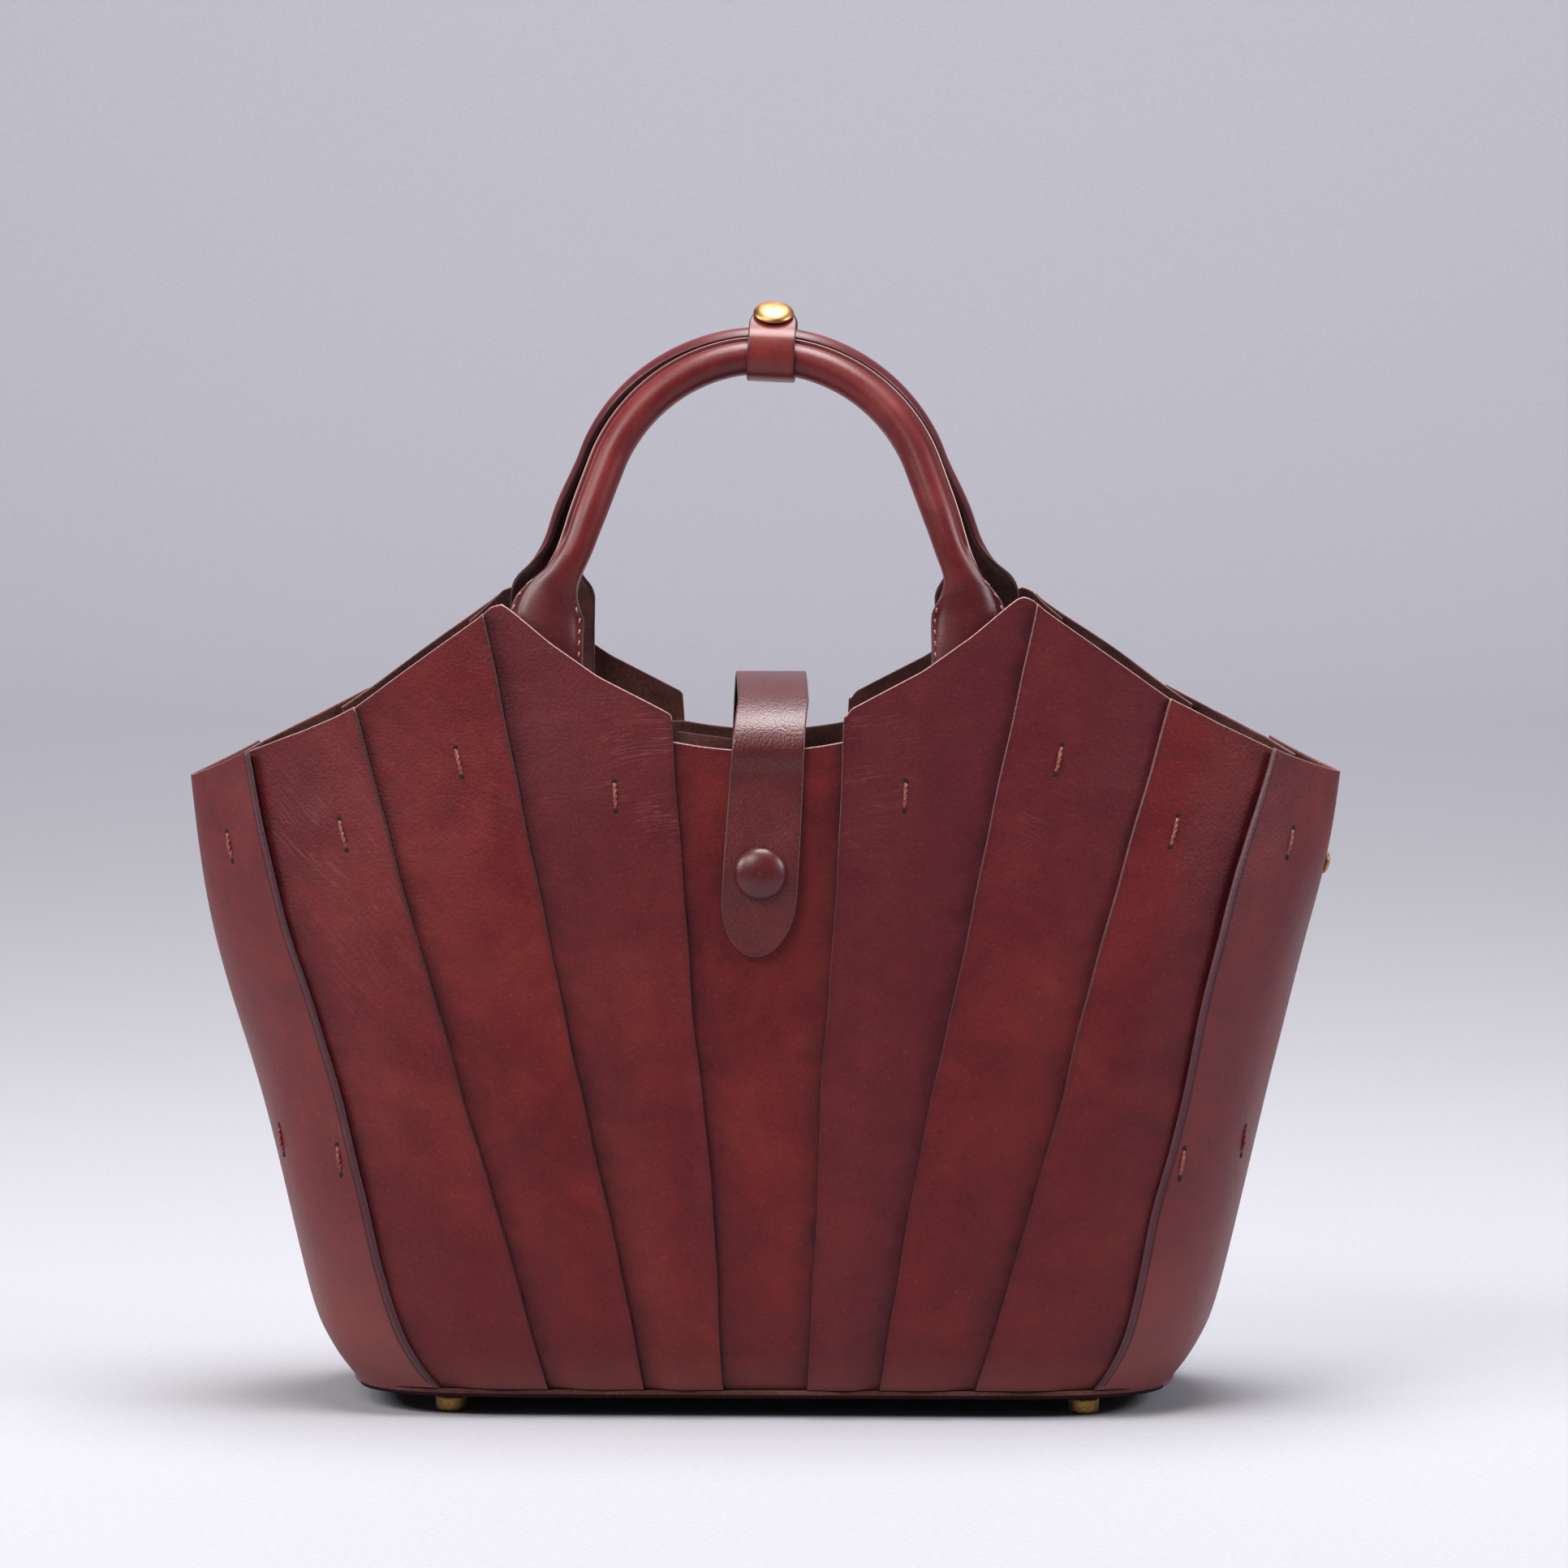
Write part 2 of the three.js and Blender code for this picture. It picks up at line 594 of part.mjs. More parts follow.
// Facing: a leather patch inside the front's middle strip, its rim cut on a slant
function snapFacing() {
  const point = (i, j, inwards) => {
    const x = facing.halfWidth * acrossSteps[i];
    const top = facing.rimMiddle + facing.rimSlope * x;
    const height = THREE.MathUtils.lerp(facing.bottom, top, j / (facingRows - 1));
    return wallPoint(turnAt(x, height), height, -facing.seat - inwards);
  };
  const outer = (i, j) => point(i, j, 0);
  const inner = (i, j) => point(i, j, facing.thickness);
  return sheet(acrossSteps.length, facingRows, outer, inner);
}
addPiece('snap_facing', snapFacing(), suede);

// Side studs: seated square to the side panel, which spreads as it rises
for (const side of sides) {
  const rise = halfWidthAt(studHeight + slopeSpan) - halfWidthAt(studHeight - slopeSpan);
  const spread = rise / (2 * slopeSpan);
  const part = studDepths[side.name] / halfDepthAt(studHeight);
  const turn = Math.acos(part ** (sidePowerAt(studHeight) / 2));
  const onPanel = wallPoint(turn, studHeight, lapOffset + wallThickness + gap);
  const normal = wallPoint(turn, studHeight, lapOffset + wallThickness + gap + 1).sub(onPanel);
  const place = new THREE.Vector3(side.toRight * onPanel.x, -onPanel.y, studHeight);
  const direction = new THREE.Vector3(side.toRight * normal.x, -normal.y, -spread);
  seat(addPiece(`side_stud_${side.name}`, turned(studProfile), brass), place, direction);
}

export default satchel;
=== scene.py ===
# Leather satchel of fanned strips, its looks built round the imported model. Sizes are in mm and made metres
# in each mesh; +Z is up and the front faces -Y.
import math
from functools import partial

import bpy
import numpy as np
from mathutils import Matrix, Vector


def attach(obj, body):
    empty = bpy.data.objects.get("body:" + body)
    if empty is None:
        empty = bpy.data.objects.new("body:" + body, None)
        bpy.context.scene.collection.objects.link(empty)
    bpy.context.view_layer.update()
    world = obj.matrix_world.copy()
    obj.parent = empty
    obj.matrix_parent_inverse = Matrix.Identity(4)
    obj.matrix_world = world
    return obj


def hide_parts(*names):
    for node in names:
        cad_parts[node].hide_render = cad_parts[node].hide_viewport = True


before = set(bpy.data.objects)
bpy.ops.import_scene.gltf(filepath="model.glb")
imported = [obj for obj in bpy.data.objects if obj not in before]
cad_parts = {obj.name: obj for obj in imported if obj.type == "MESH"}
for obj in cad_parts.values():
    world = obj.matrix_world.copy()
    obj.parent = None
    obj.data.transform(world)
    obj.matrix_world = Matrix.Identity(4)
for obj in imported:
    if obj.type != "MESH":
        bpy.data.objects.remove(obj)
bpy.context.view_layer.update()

mm = 0.001
faceSigns = {"front": -1, "back": 1}
sideSigns = {"left": -1, "right": 1}
print("frame loaded:", len(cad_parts), "nodes")


# Name of a side from the sign of its x
def sideName(toRight):
    return "right" if toRight > 0 else "left"


# Value of a column between its rows: a cubic through the rows whose slope at a row is that of the line
# joining the rows on both sides of it
def readSmooth(table, key, column, place):
    x = np.asarray(table[key], float)
    y = np.asarray(table[column], float)
    row = np.arange(len(x))
    low = np.maximum(row - 1, 0)
    high = np.minimum(row + 1, len(x) - 1)
    slope = (y[high] - y[low]) / (x[high] - x[low])
    i = np.clip(np.searchsorted(x, place) - 1, 0, len(x) - 2)
    step = x[i + 1] - x[i]
    u = np.clip((place - x[i]) / step, 0, 1)
    fall = (1 + 2 * u) * (1 - u) ** 2
    pull = step * (slope[i] * u * (1 - u) ** 2 + slope[i + 1] * u**2 * (u - 1))
    return y[i] * fall + y[i + 1] * (1 - fall) + pull


# Eased step from 0 at low to 1 at high: 3u^2 - 2u^3
def easeStep(value, low, high):
    u = np.clip((value - low) / (high - low), 0, 1)
    return u * u * (3 - 2 * u)


# Straight blend from a at 0 to b at 1: a + (b - a) * part
def blend(a, b, part):
    return a + (b - a) * part


# Vectors divided by their own lengths
def unit(vectors):
    return vectors / np.linalg.norm(vectors, axis=-1, keepdims=True)


# Coordinates side by side, each stretched to the shape that they share
def gather(*columns):
    return np.stack(np.broadcast_arrays(*columns), axis=-1)


# Distance of each point of a line from its first: the running sum of its steps
def distanceAlong(*columns):
    return np.r_[0, np.cumsum(np.linalg.norm([np.diff(column) for column in columns], axis=0))]


# Cut leather: places close together near an edge, so that its rounding has points to follow
cutEdge = {"steps": [0, 0.03, 0.1, 0.25, 0.5, 0.9, 1.6, 2.2, 2.8], "round": 0.5, "squareness": 2.8}


# Places across a width, from 0 to 1: close together at both edges, even between them
def edgeSpaced(width, count):
    near = np.array(cutEdge["steps"])
    margin = near[-1] + (near[-1] - near[-2])
    places = np.concatenate([near, np.linspace(margin, width - margin, count), width - near[::-1]])
    return places / width


# Half-thickness at a distance from a cut edge: thickness/2 * (1 - (1 - distance/round)^n)^(1/n)
def halfThickness(distance, thickness, reach=cutEdge["round"], n=cutEdge["squareness"]):
    inwards = 1 - np.clip(distance / reach, 0, 1)
    return thickness / 2 * (1 - inwards**n) ** (1 / n)


# Rows of a sheet from its bottom to its top: their heights, and their distances from both
def sheetRows(bottom, tops, length, count):
    steps = edgeSpaced(length, count)[:, None]
    span = tops - bottom
    return bottom + steps * span, steps * span, (1 - steps) * span


# Faces of a grid of vertex numbers, four corners each; a closed grid joins its last row to its first
def gridFaces(index, closed=False):
    if closed:
        index = np.vstack([index, index[:1]])
    corners = [index[:-1, :-1], index[:-1, 1:], index[1:, 1:], index[1:, :-1]]
    return np.stack(corners, axis=-1).reshape(-1, 4)


# Mesh piece from arrays: points in mm, four-cornered faces turned outwards, caps with many corners
def makePiece(name, points, faces, materials, nodes, caps=(), faceSlots=None, values=None, uv=None):
    a, b, c, d = (points[faces[:, k]] for k in range(4))
    volume = np.einsum("ij,ij->", a, np.cross(b, c)) + np.einsum("ij,ij->", a, np.cross(c, d))
    turn = 1 if volume > 0 else -1
    corners = faces[:, ::turn].tolist() + [list(cap)[::turn] for cap in caps]
    mesh = bpy.data.meshes.new(name)
    mesh.from_pydata((points * mm).tolist(), [], corners)
    mesh.polygons.foreach_set("use_smooth", np.ones(len(corners), bool))
    for material in materials:
        mesh.materials.append(material)
    if faceSlots is not None:
        mesh.polygons.foreach_set("material_index", faceSlots.astype(np.int32))
    for key, value in (values or {}).items():
        data = np.broadcast_to(np.asarray(value, np.float32), len(points))
        mesh.attributes.new(key, "FLOAT", "POINT").data.foreach_set("value", np.ascontiguousarray(data))
    if uv is not None:
        corner = np.empty(len(mesh.loops), np.int32)
        mesh.loops.foreach_get("vertex_index", corner)
        mesh.uv_layers.new(name="hide").data.foreach_set("uv", (uv[corner] * mm).astype(np.float32).ravel())
    mesh.update()
    piece = bpy.data.objects.new(name, mesh)
    bpy.context.scene.collection.objects.link(piece)
    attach(piece, "root")
    if nodes:
        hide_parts(*nodes)


# Sheet of leather: an outer and an inner grid that meet all round the border, or only along the two sides
# where the rows close on themselves. Grain material outside, flesh material inside
def makeSheet(name, outer, inner, edge, uv, materials, node, tone=0.5, lay=0.0, marks=None,
              closed=False):
    rows, columns = edge.shape
    index = np.arange(rows * columns).reshape(rows, columns)
    inside = np.zeros((rows, columns), bool)
    inside[(slice(None) if closed else slice(1, -1)), 1:-1] = True
    under = index.copy()
    under[inside] = rows * columns + np.arange(inside.sum())
    grain = gridFaces(index, closed)
    flesh = gridFaces(under, closed)[:, ::-1]

    def both(grid):
        flat = grid.reshape((rows * columns,) + grid.shape[2:])
        return np.concatenate([flat, grid[inside]])

    points = np.concatenate([outer.reshape(-1, 3), inner[inside]])
    slots = np.repeat([0, 1], [len(grain), len(flesh)])
    values = {key: both(np.broadcast_to(value, edge.shape)) for key, value in (marks or {}).items()}
    values.update({"edge": both(edge), "tone": both(np.broadcast_to(tone, edge.shape)), "lay": lay})
    makePiece(name, points, np.concatenate([grain, flesh]), materials, [node], faceSlots=slots,
              values=values, uv=both(uv))


# Round piece: a profile of (radius, level) turned about its axis, then stood at a place along a direction
turned = {"tipRadius": 0.05, "insideEdge": 20.0, "hidePlace": 400}


def makeTurned(name, profile, place, direction, material, node, segments=48, smooth=4):
    radii, levels = zip(*profile)
    table = {"row": np.arange(len(profile)), "radius": radii, "level": levels}
    row = np.linspace(0, len(profile) - 1, (len(profile) - 1) * smooth + 1)
    radius = np.maximum(readSmooth(table, "row", "radius", row), turned["tipRadius"])
    level = readSmooth(table, "row", "level", row)
    up = unit(np.array(direction, float))
    side = unit(np.cross(up, [0.0, 1.0, 0.0] if abs(up[1]) < 0.9 else [1.0, 0.0, 0.0]))
    angle = np.linspace(0, 2 * np.pi, segments, endpoint=False)
    ring = np.cos(angle)[:, None] * side + np.sin(angle)[:, None] * np.cross(up, side)
    points = np.asarray(place) + radius[None, :, None] * ring[:, None, :] + level[None, :, None] * up
    index = np.arange(points.shape[0] * points.shape[1]).reshape(points.shape[:2])
    caps = [index[::-1, 0], index[:, -1]]
    uv = radius[None, :, None] * gather(np.cos(angle), np.sin(angle))[:, None, :] + turned["hidePlace"]
    makePiece(name, points.reshape(-1, 3), gridFaces(index, closed=True), [material], [node], caps,
              values={"edge": turned["insideEdge"], "tone": 0.5}, uv=uv.reshape(-1, 2))


# Materials

# sRGB hex to linear: c / 12.92 below 0.04045, otherwise ((c + 0.055) / 1.055)^2.4
def hexColor(code):
    channels = [int(code[i:i + 2], 16) / 255 for i in (1, 3, 5)]
    return [c / 12.92 if c <= 0.04045 else ((c + 0.055) / 1.055) ** 2.4 for c in channels] + [1]


# Inputs by name, or as a list in the order of those in use on the node. An input is a plain value, another
# node's output, or a node, which gives the first of its outputs in use
def setInputs(node, inputs):
    if isinstance(inputs, list):
        inUse = [number for number, socket in enumerate(node.inputs) if socket.enabled]
        inputs = dict(zip(inUse, inputs))
    for name, value in inputs.items():
        if isinstance(value, bpy.types.Node):
            value = next(socket for socket in value.outputs if socket.enabled)
        if isinstance(value, bpy.types.NodeSocket):
            node.id_data.links.new(value, node.inputs[name])
        else:
            node.inputs[name].default_value = value


# Adds a node with its inputs and settings; the stops of a colour ramp are (place, hex) pairs
def addNode(tree, kind, inputs=None, stops=(), **settings):
    node = tree.nodes.new("ShaderNode" + kind)
    for name, value in settings.items():
        setattr(node, name, value)
    for number, (place, code) in enumerate(stops):
        elements = node.color_ramp.elements
        element = elements[number] if number < 2 else elements.new(place)
        element.position = place
        element.color = hexColor(code)
    setInputs(node, inputs or {})
    return node


# A pattern of the given size in mm: coordinates are metres, so its scale is 1000 over the size
def perSize(size):
    return 1000 / size


# New material, its shader and addNode for its tree
def newMaterial(name):
    material = bpy.data.materials.new(name)
    material.use_nodes = True
    tree = material.node_tree
    return material, tree.nodes["Principled BSDF"], partial(addNode, tree)


noiseRange = {"From Min": 0.3, "From Max": 0.7}  # where most values of a noise lie


# Vegetable-tanned grain leather, dyed, waxed and burnished: the eye sees a satin surface of mottled
# red-browns, with painted shade, purple-dark, where it goes under the next strip, fine pale creases
# in worn places and a thin line at each cut edge, pale on the rims. Painted light as well: darker grain
# valleys, a groove's dark line, a paler reflection of the floor low down and paler cut edges on the right.
# Real pores are 0.2 mm; the grain is drawn coarser to show.
def grainLeather(name, look):
    material, shader, add = newMaterial(name)
    uv = add("UVMap", uv_map="hide")
    place = add("SeparateXYZ", {"Vector": add("TexCoord").outputs["Object"]})
    marks = {key: add("Attribute", attribute_name=key).outputs["Fac"]
             for key in ("edge", "tone", "lay", "under", "rimmed", "worn")}
    patina = add("TexNoise", {"Vector": uv, "Scale": perSize(look["patina"]), "Detail": 5, "Roughness": 0.6,
                              "Distortion": 0.6})
    patches = add("ValToRGB", {"Fac": patina}, look["stops"])
    toned = add("Mix", [marks["tone"], patches, hexColor(look["mauve"])], data_type="RGBA")
    blotch = add("TexNoise", {"Vector": uv, "Scale": perSize(look["blotch"]), "Detail": 4,
                              "Roughness": 0.65})
    cloud = add("MapRange", {**noiseRange, "Value": blotch, "To Min": 0.86, "To Max": 1.1})
    speck = add("TexNoise", {"Vector": uv, "Scale": perSize(look["speck"]), "Detail": 4, "Roughness": 0.7})
    mottle = add("MapRange", {**noiseRange, "Value": speck, "To Min": 1 - look["mottle"],
                              "To Max": 1 + look["mottle"]})
    pores = add("TexVoronoi", {"Vector": uv, "Scale": perSize(look["grain"]), "Randomness": 1.0},
                feature="SMOOTH_F1", voronoi_dimensions="2D")
    # Painted shade in the grain's valleys: darker towards the cells' borders, lighter at their middles
    between = add("MapRange", {"Value": pores, "From Min": 0.1, "From Max": 0.6,
                               "To Min": 1 + look["valleyShade"] / 2, "To Max": 1 - look["valleyShade"]})
    clouded = add("Math", [cloud, mottle], operation="MULTIPLY")
    shade = add("Math", [clouded, between], operation="MULTIPLY")
    mottled = add("Mix", [1.0, toned, shade], data_type="RGBA", blend_type="MULTIPLY")

    # Creases: the middle contour of a noise drawn out along the strip's lay, in worn places and patches
    wavy = add("TexNoise", {"Vector": uv, "Scale": perSize(look["swayLength"]), "Detail": 1})
    sway = add("VectorMath", [wavy.outputs["Color"], (look["sway"] * mm, look["sway"] * mm, 0)],
               operation="MULTIPLY")
    swayed = add("VectorMath", [uv, sway], operation="ADD")
    alongLay = add("VectorRotate", {"Vector": swayed, "Angle": marks["lay"]}, rotation_type="Z_AXIS")
    stretched = add("Mapping", {"Vector": alongLay, "Scale": look["creaseScale"]})
    hairs = add("TexNoise", {"Vector": stretched, "Scale": 1.0, "Detail": 1.5}, noise_dimensions="2D")
    fromLine = add("Math", [hairs, 0.5], operation="SUBTRACT")
    distance = add("Math", [fromLine], operation="ABSOLUTE")
    line = add("MapRange", {"Value": distance, "From Min": 0.0, "From Max": 0.025, "To Min": 1.0,
                            "To Max": 0.0})
    where = add("TexNoise", {"Vector": alongLay, "Scale": perSize(look["creasePatch"]), "Detail": 3})
    patch = add("MapRange", {"Value": where, "From Min": 0.56, "From Max": 0.72,
                             "To Max": look["creasePatches"]})
    broken = add("MapRange", {"Value": where, "From Min": 0.38, "From Max": 0.6})
    worn = add("Math", [marks["worn"], broken], operation="MULTIPLY")
    shown = add("Math", [worn, patch], operation="MAXIMUM")
    crease = add("Math", [line, shown], operation="MULTIPLY")
    faint = add("Math", [crease, look["creaseDepth"]], operation="MULTIPLY")

    # Pale marks: the creases, rubbed flecks and a painted reflection of the bright floor low on the wall
    fleck = add("MapRange", {"Value": speck, "From Min": 0.6, "From Max": 0.74, "To Max": look["flecks"]})
    # Painted reflection of the bright floor: paler towards the bottom of the wall, up to its top height
    floorSheen = add("MapRange", {"Value": place.outputs["Z"], "From Min": look["floorSheenLow"] * mm,
                             "From Max": look["floorSheenTop"] * mm, "To Min": look["floorSheen"], "To Max": 0.0})
    flecked = add("Math", [faint, fleck], operation="MAXIMUM")
    paled = add("Math", [flecked, floorSheen], operation="MAXIMUM")
    creased = add("Mix", [paled, mottled, hexColor(look["pale"])], data_type="RGBA")

    # Under the next strip: painted shade, broken into blotches; then a narrow darkening along the piece's
    # own edge, part burnishing and part painted shade of its rounding
    shadeBlotches = add("MapRange", {"Value": blotch, "From Min": 0.35, "From Max": 0.62, "To Min": 1.0,
                              "To Max": 0.45})
    covered = add("Math", [marks["under"], shadeBlotches], operation="MULTIPLY")
    # Darkening along the own edge: part real burnishing, part painted shade of the edge's rounding
    burnishAndShade = add("MapRange", {"Value": marks["edge"], "From Min": 0.5, "From Max": look["burnishAndShade"],
                               "To Min": look["burnishAndShadeDepth"], "To Max": 0.0},
                  interpolation_type="SMOOTHERSTEP")
    broke = add("Math", [burnishAndShade, shadeBlotches], operation="MULTIPLY")
    dark = add("Math", [covered, broke], operation="MAXIMUM")
    darkened = add("Mix", [dark, creased, hexColor(look["dark"])], data_type="RGBA")

    # Cut edge: dark low down, paler high up, palest on the rims, and paler on the right side, a painted
    # highlight where the cut faces the key lamp; beside it a groove's dark line
    rising = add("MapRange", {"Value": place.outputs["Z"], "From Min": 0.1, "From Max": 0.26})
    paleOnLitSide = add("MapRange", {"Value": place.outputs["X"], "From Min": -0.04, "From Max": 0.04,
                             "To Min": 0.08, "To Max": 0.4})
    chipped = add("MapRange", {"Value": speck, "From Min": 0.35, "From Max": 0.6, "To Min": 0.5})
    onSeam = add("Math", [rising, paleOnLitSide], operation="MULTIPLY")
    onEdge = add("Math", [onSeam, marks["rimmed"]], operation="MAXIMUM")
    paling = add("Math", [onEdge, chipped], operation="MULTIPLY")
    cutColor = add("Mix", [paling, hexColor(look["cut"]), hexColor(look["cutPale"])], data_type="RGBA")
    cut = add("MapRange", {"Value": marks["edge"], "From Min": look["cutWidth"] * 0.7,
                           "From Max": look["cutWidth"], "To Min": 1.0, "To Max": 0.0})
    edged = add("Mix", [cut, darkened, cutColor], data_type="RGBA")
    # Dark line along the side strips' groove, which has no relief of its own: painted shade of the groove
    fromGroove = add("Math", [marks["edge"], look["groove"], look["grooveHalf"]], operation="COMPARE")
    grooved = add("Math", [fromGroove, look["grooveDepth"]], operation="MULTIPLY")
    lined = add("Mix", [grooved, edged, hexColor(look["grooveShade"])], data_type="RGBA")

    # Relief: soft dents, the creases and the grain
    dents = add("TexNoise", {"Vector": uv, "Scale": perSize(look["dentSize"]), "Detail": 2})
    soft = add("Bump", {"Height": dents, "Strength": 1.0, "Distance": look["dents"] * mm})
    lines = add("Bump", {"Height": crease, "Strength": 0.6, "Distance": look["creaseRelief"] * mm,
                         "Normal": soft}, invert=True)
    grain = add("Bump", {"Height": pores, "Strength": 1.0, "Distance": look["grainHeight"] * mm,
                         "Normal": lines}, invert=True)
    rub = add("MapRange", {**noiseRange, "Value": patina, "To Min": look["roughness"] - 0.07,
                           "To Max": look["roughness"] + 0.07})
    setInputs(shader, {"Base Color": lined, "Normal": grain, "Roughness": rub, "IOR": 1.5,
                       "Specular IOR Level": look["gloss"], "Coat Weight": look["wax"],
                       "Coat Roughness": look["waxRoughness"]})
    return material


# Sizes, heights and widths are in mm, depths and strengths are shares of 1
panelLook = {"patina": 46, "blotch": 11, "speck": 1.5, "mottle": 0.1, "flecks": 0.3, "grain": 1.1,
             "valleyShade": 0.08,
             "stops": [(0.3, "#551115"), (0.46, "#621519"), (0.58, "#6b1a1a"), (0.74, "#75231e")],
             "mauve": "#541b22", "pale": "#94524c", "dark": "#2b0a12", "burnishAndShade": 3.0, "burnishAndShadeDepth": 0.3,
             "swayLength": 38, "sway": 6.0, "creaseScale": (perSize(34), perSize(2.6), 1),
             "creaseDepth": 0.34, "creasePatch": 13, "creasePatches": 0.25, "floorSheen": 0.3, "floorSheenLow": 11,
             "floorSheenTop": 24, "cut": "#2a0d15", "cutPale": "#ad8481", "cutWidth": 0.34, "groove": -1.0,
             "grooveHalf": 0.3, "grooveDepth": 0.0, "grooveShade": "#200a10", "dentSize": 24, "dents": 0.6,
             "creaseRelief": 0.12, "grainHeight": 0.09, "roughness": 0.46, "gloss": 0.27, "wax": 0.0,
             "waxRoughness": 0.3}
sideLook = {**panelLook, "gloss": 0.45, "floorSheen": 0.35, "floorSheenTop": 75, "cut": "#43212b",
            "cutPale": "#8a6468", "cutWidth": 1.1, "groove": 1.6, "grooveDepth": 0.85}
handleLook = {**panelLook, "patina": 30, "stops": [(0.3, "#581519"), (0.5, "#66191b"), (0.7, "#722220")],
              "mauve": "#431319", "cut": "#b58d88", "cutPale": "#dcc0bb", "cutWidth": 0.5, "burnishAndShade": 2.4,
              "dents": 0.15, "grain": 1.0, "grainHeight": 0.02, "valleyShade": 0.04, "roughness": 0.38,
              "wax": 0.06, "gloss": 0.38}
curledLook = {**handleLook, "cut": "#4a2127", "cutPale": "#5b2d33", "cutWidth": 1.0, "mauve": "#54242a"}
keeperLook = {**handleLook, "stops": [(0.3, "#6a2222"), (0.5, "#7c2a26"), (0.7, "#86322a")],
              "cut": "#43191f", "cutPale": "#43191f", "burnishAndShade": 1.6, "burnishAndShadeDepth": 0.5}
strapLook = {**panelLook, "stops": [(0.3, "#450a0e"), (0.5, "#530d10"), (0.7, "#5e1213")], "dents": 0.3,
             "grain": 0.85, "grainHeight": 0.1, "valleyShade": 0.25, "mottle": 0.12, "roughness": 0.39,
             "gloss": 0.6, "cutPale": "#c4a09c"}
snapLook = {**panelLook, "stops": [(0.3, "#460c11"), (0.5, "#521013"), (0.7, "#5c1516")],
            "mauve": "#480f15", "roughness": 0.36, "wax": 0.45, "waxRoughness": 0.34, "gloss": 0.3,
            "grainHeight": 0.03, "creasePatches": 0.0}
baseLook = {**panelLook, "stops": [(0.3, "#1d080e"), (0.5, "#260c14"), (0.7, "#30121b")],
            "mauve": "#280e16", "cut": "#230c14", "cutPale": "#230c14", "roughness": 0.75, "gloss": 0.1,
            "floorSheen": 0.0, "flecks": 0.1}
panelLeather = grainLeather("vegetable_tanned_leather", panelLook)
sideLeather = grainLeather("bevelled_side_leather", sideLook)
handleLeather = grainLeather("burnished_handle_leather", handleLook)
curledLeather = grainLeather("curled_handle_leather", curledLook)
keeperLeather = grainLeather("keeper_leather", keeperLook)
strapLeather = grainLeather("pebbled_strap_leather", strapLook)
snapLeather = grainLeather("snap_cover_leather", snapLook)
baseLeather = grainLeather("dark_base_leather", baseLook)


# Flesh side of the hide, sueded: matt dark brown nap with lighter fibres and no gloss
def fleshSuede(name, look):
    material, shader, add = newMaterial(name)
    place = add("TexCoord").outputs["Object"]
    nap = add("TexNoise", {"Vector": place, "Scale": perSize(look["nap"]), "Detail": 6, "Roughness": 0.75})
    brushed = add("TexNoise", {"Vector": place, "Scale": perSize(look["brushed"]), "Detail": 3})
    mixed = add("Math", [nap, brushed], operation="ADD")
    half = add("Math", [mixed, 0.5], operation="MULTIPLY")
    color = add("ValToRGB", {"Fac": half}, look["stops"])
    fuzz = add("Bump", {"Height": nap, "Strength": 0.7, "Distance": look["fuzz"] * mm})
    setInputs(shader, {"Base Color": color, "Normal": fuzz, "Roughness": 0.92, "Specular IOR Level": 0.25,
                       "Sheen Weight": 0.15, "Sheen Roughness": 0.5})
    return material


suedeLook = {"nap": 1.6, "brushed": 22, "fuzz": 0.4,
             "stops": [(0.36, "#351a18"), (0.5, "#4e2a27"), (0.66, "#6b3f38")]}
# A darker copy of the suede, painted shade, for the inside of the back handle and for the facing
shadedSuedeLook = {**suedeLook, "stops": [(0.36, "#2e1614"), (0.5, "#442321"), (0.66, "#5c3430")]}
suede = fleshSuede("flesh_side_suede", suedeLook)
shadedSuede = fleshSuede("painted_shade_suede", shadedSuedeLook)


# Turned brass: warm yellow metal, polished on the cap and studs, satin on the feet, finely worn
def turnedBrass(name, look):
    material, shader, add = newMaterial(name)
    place = add("TexCoord").outputs["Object"]
    wear = add("TexNoise", {"Vector": place, "Scale": perSize(look["wear"]), "Detail": 5, "Roughness": 0.7})
    color = add("ValToRGB", {"Fac": wear}, look["stops"])
    gloss = add("MapRange", {**noiseRange, "Value": wear, "To Min": look["roughness"] * 0.8,
                             "To Max": look["roughness"] * 1.25})
    pits = add("Bump", {"Height": wear, "Strength": look["pits"], "Distance": look["pitDepth"] * mm})
    setInputs(shader, {"Base Color": color, "Roughness": gloss, "Normal": pits, "Metallic": 1.0})
    return material


capLook = {"wear": 6.0, "stops": [(0.3, "#b07c4a"), (0.7, "#bd8d60")], "roughness": 0.38, "pits": 0.0,
           "pitDepth": 0.2}
footLook = {**capLook, "wear": 1.1, "stops": [(0.3, "#7d5f36"), (0.7, "#c9a163")], "roughness": 0.45,
            "pits": 0.6}
capBrass = turnedBrass("polished_brass", capLook)
footBrass = turnedBrass("satin_brass", footLook)


# Waxed linen thread: two plies twisted together, dull red-brown with paler rubbed fibres
def waxedThread(name, stops):
    material, shader, add = newMaterial(name)
    place = add("TexCoord").outputs["Object"]
    fibre = add("TexNoise", {"Vector": place, "Scale": perSize(0.9), "Detail": 4})
    color = add("ValToRGB", {"Fac": fibre}, stops)
    relief = add("Bump", {"Height": fibre, "Strength": 0.5, "Distance": 0.2 * mm})
    setInputs(shader, {"Base Color": color, "Normal": relief, "Roughness": 0.6})
    return material


thread = waxedThread("waxed_linen_thread", [(0.3, "#4e201e"), (0.5, "#7c3c35"), (0.7, "#9b5a51")])
paleThread = waxedThread("pale_linen_thread", [(0.3, "#7a4846"), (0.5, "#a06c69"), (0.7, "#bd918d")])


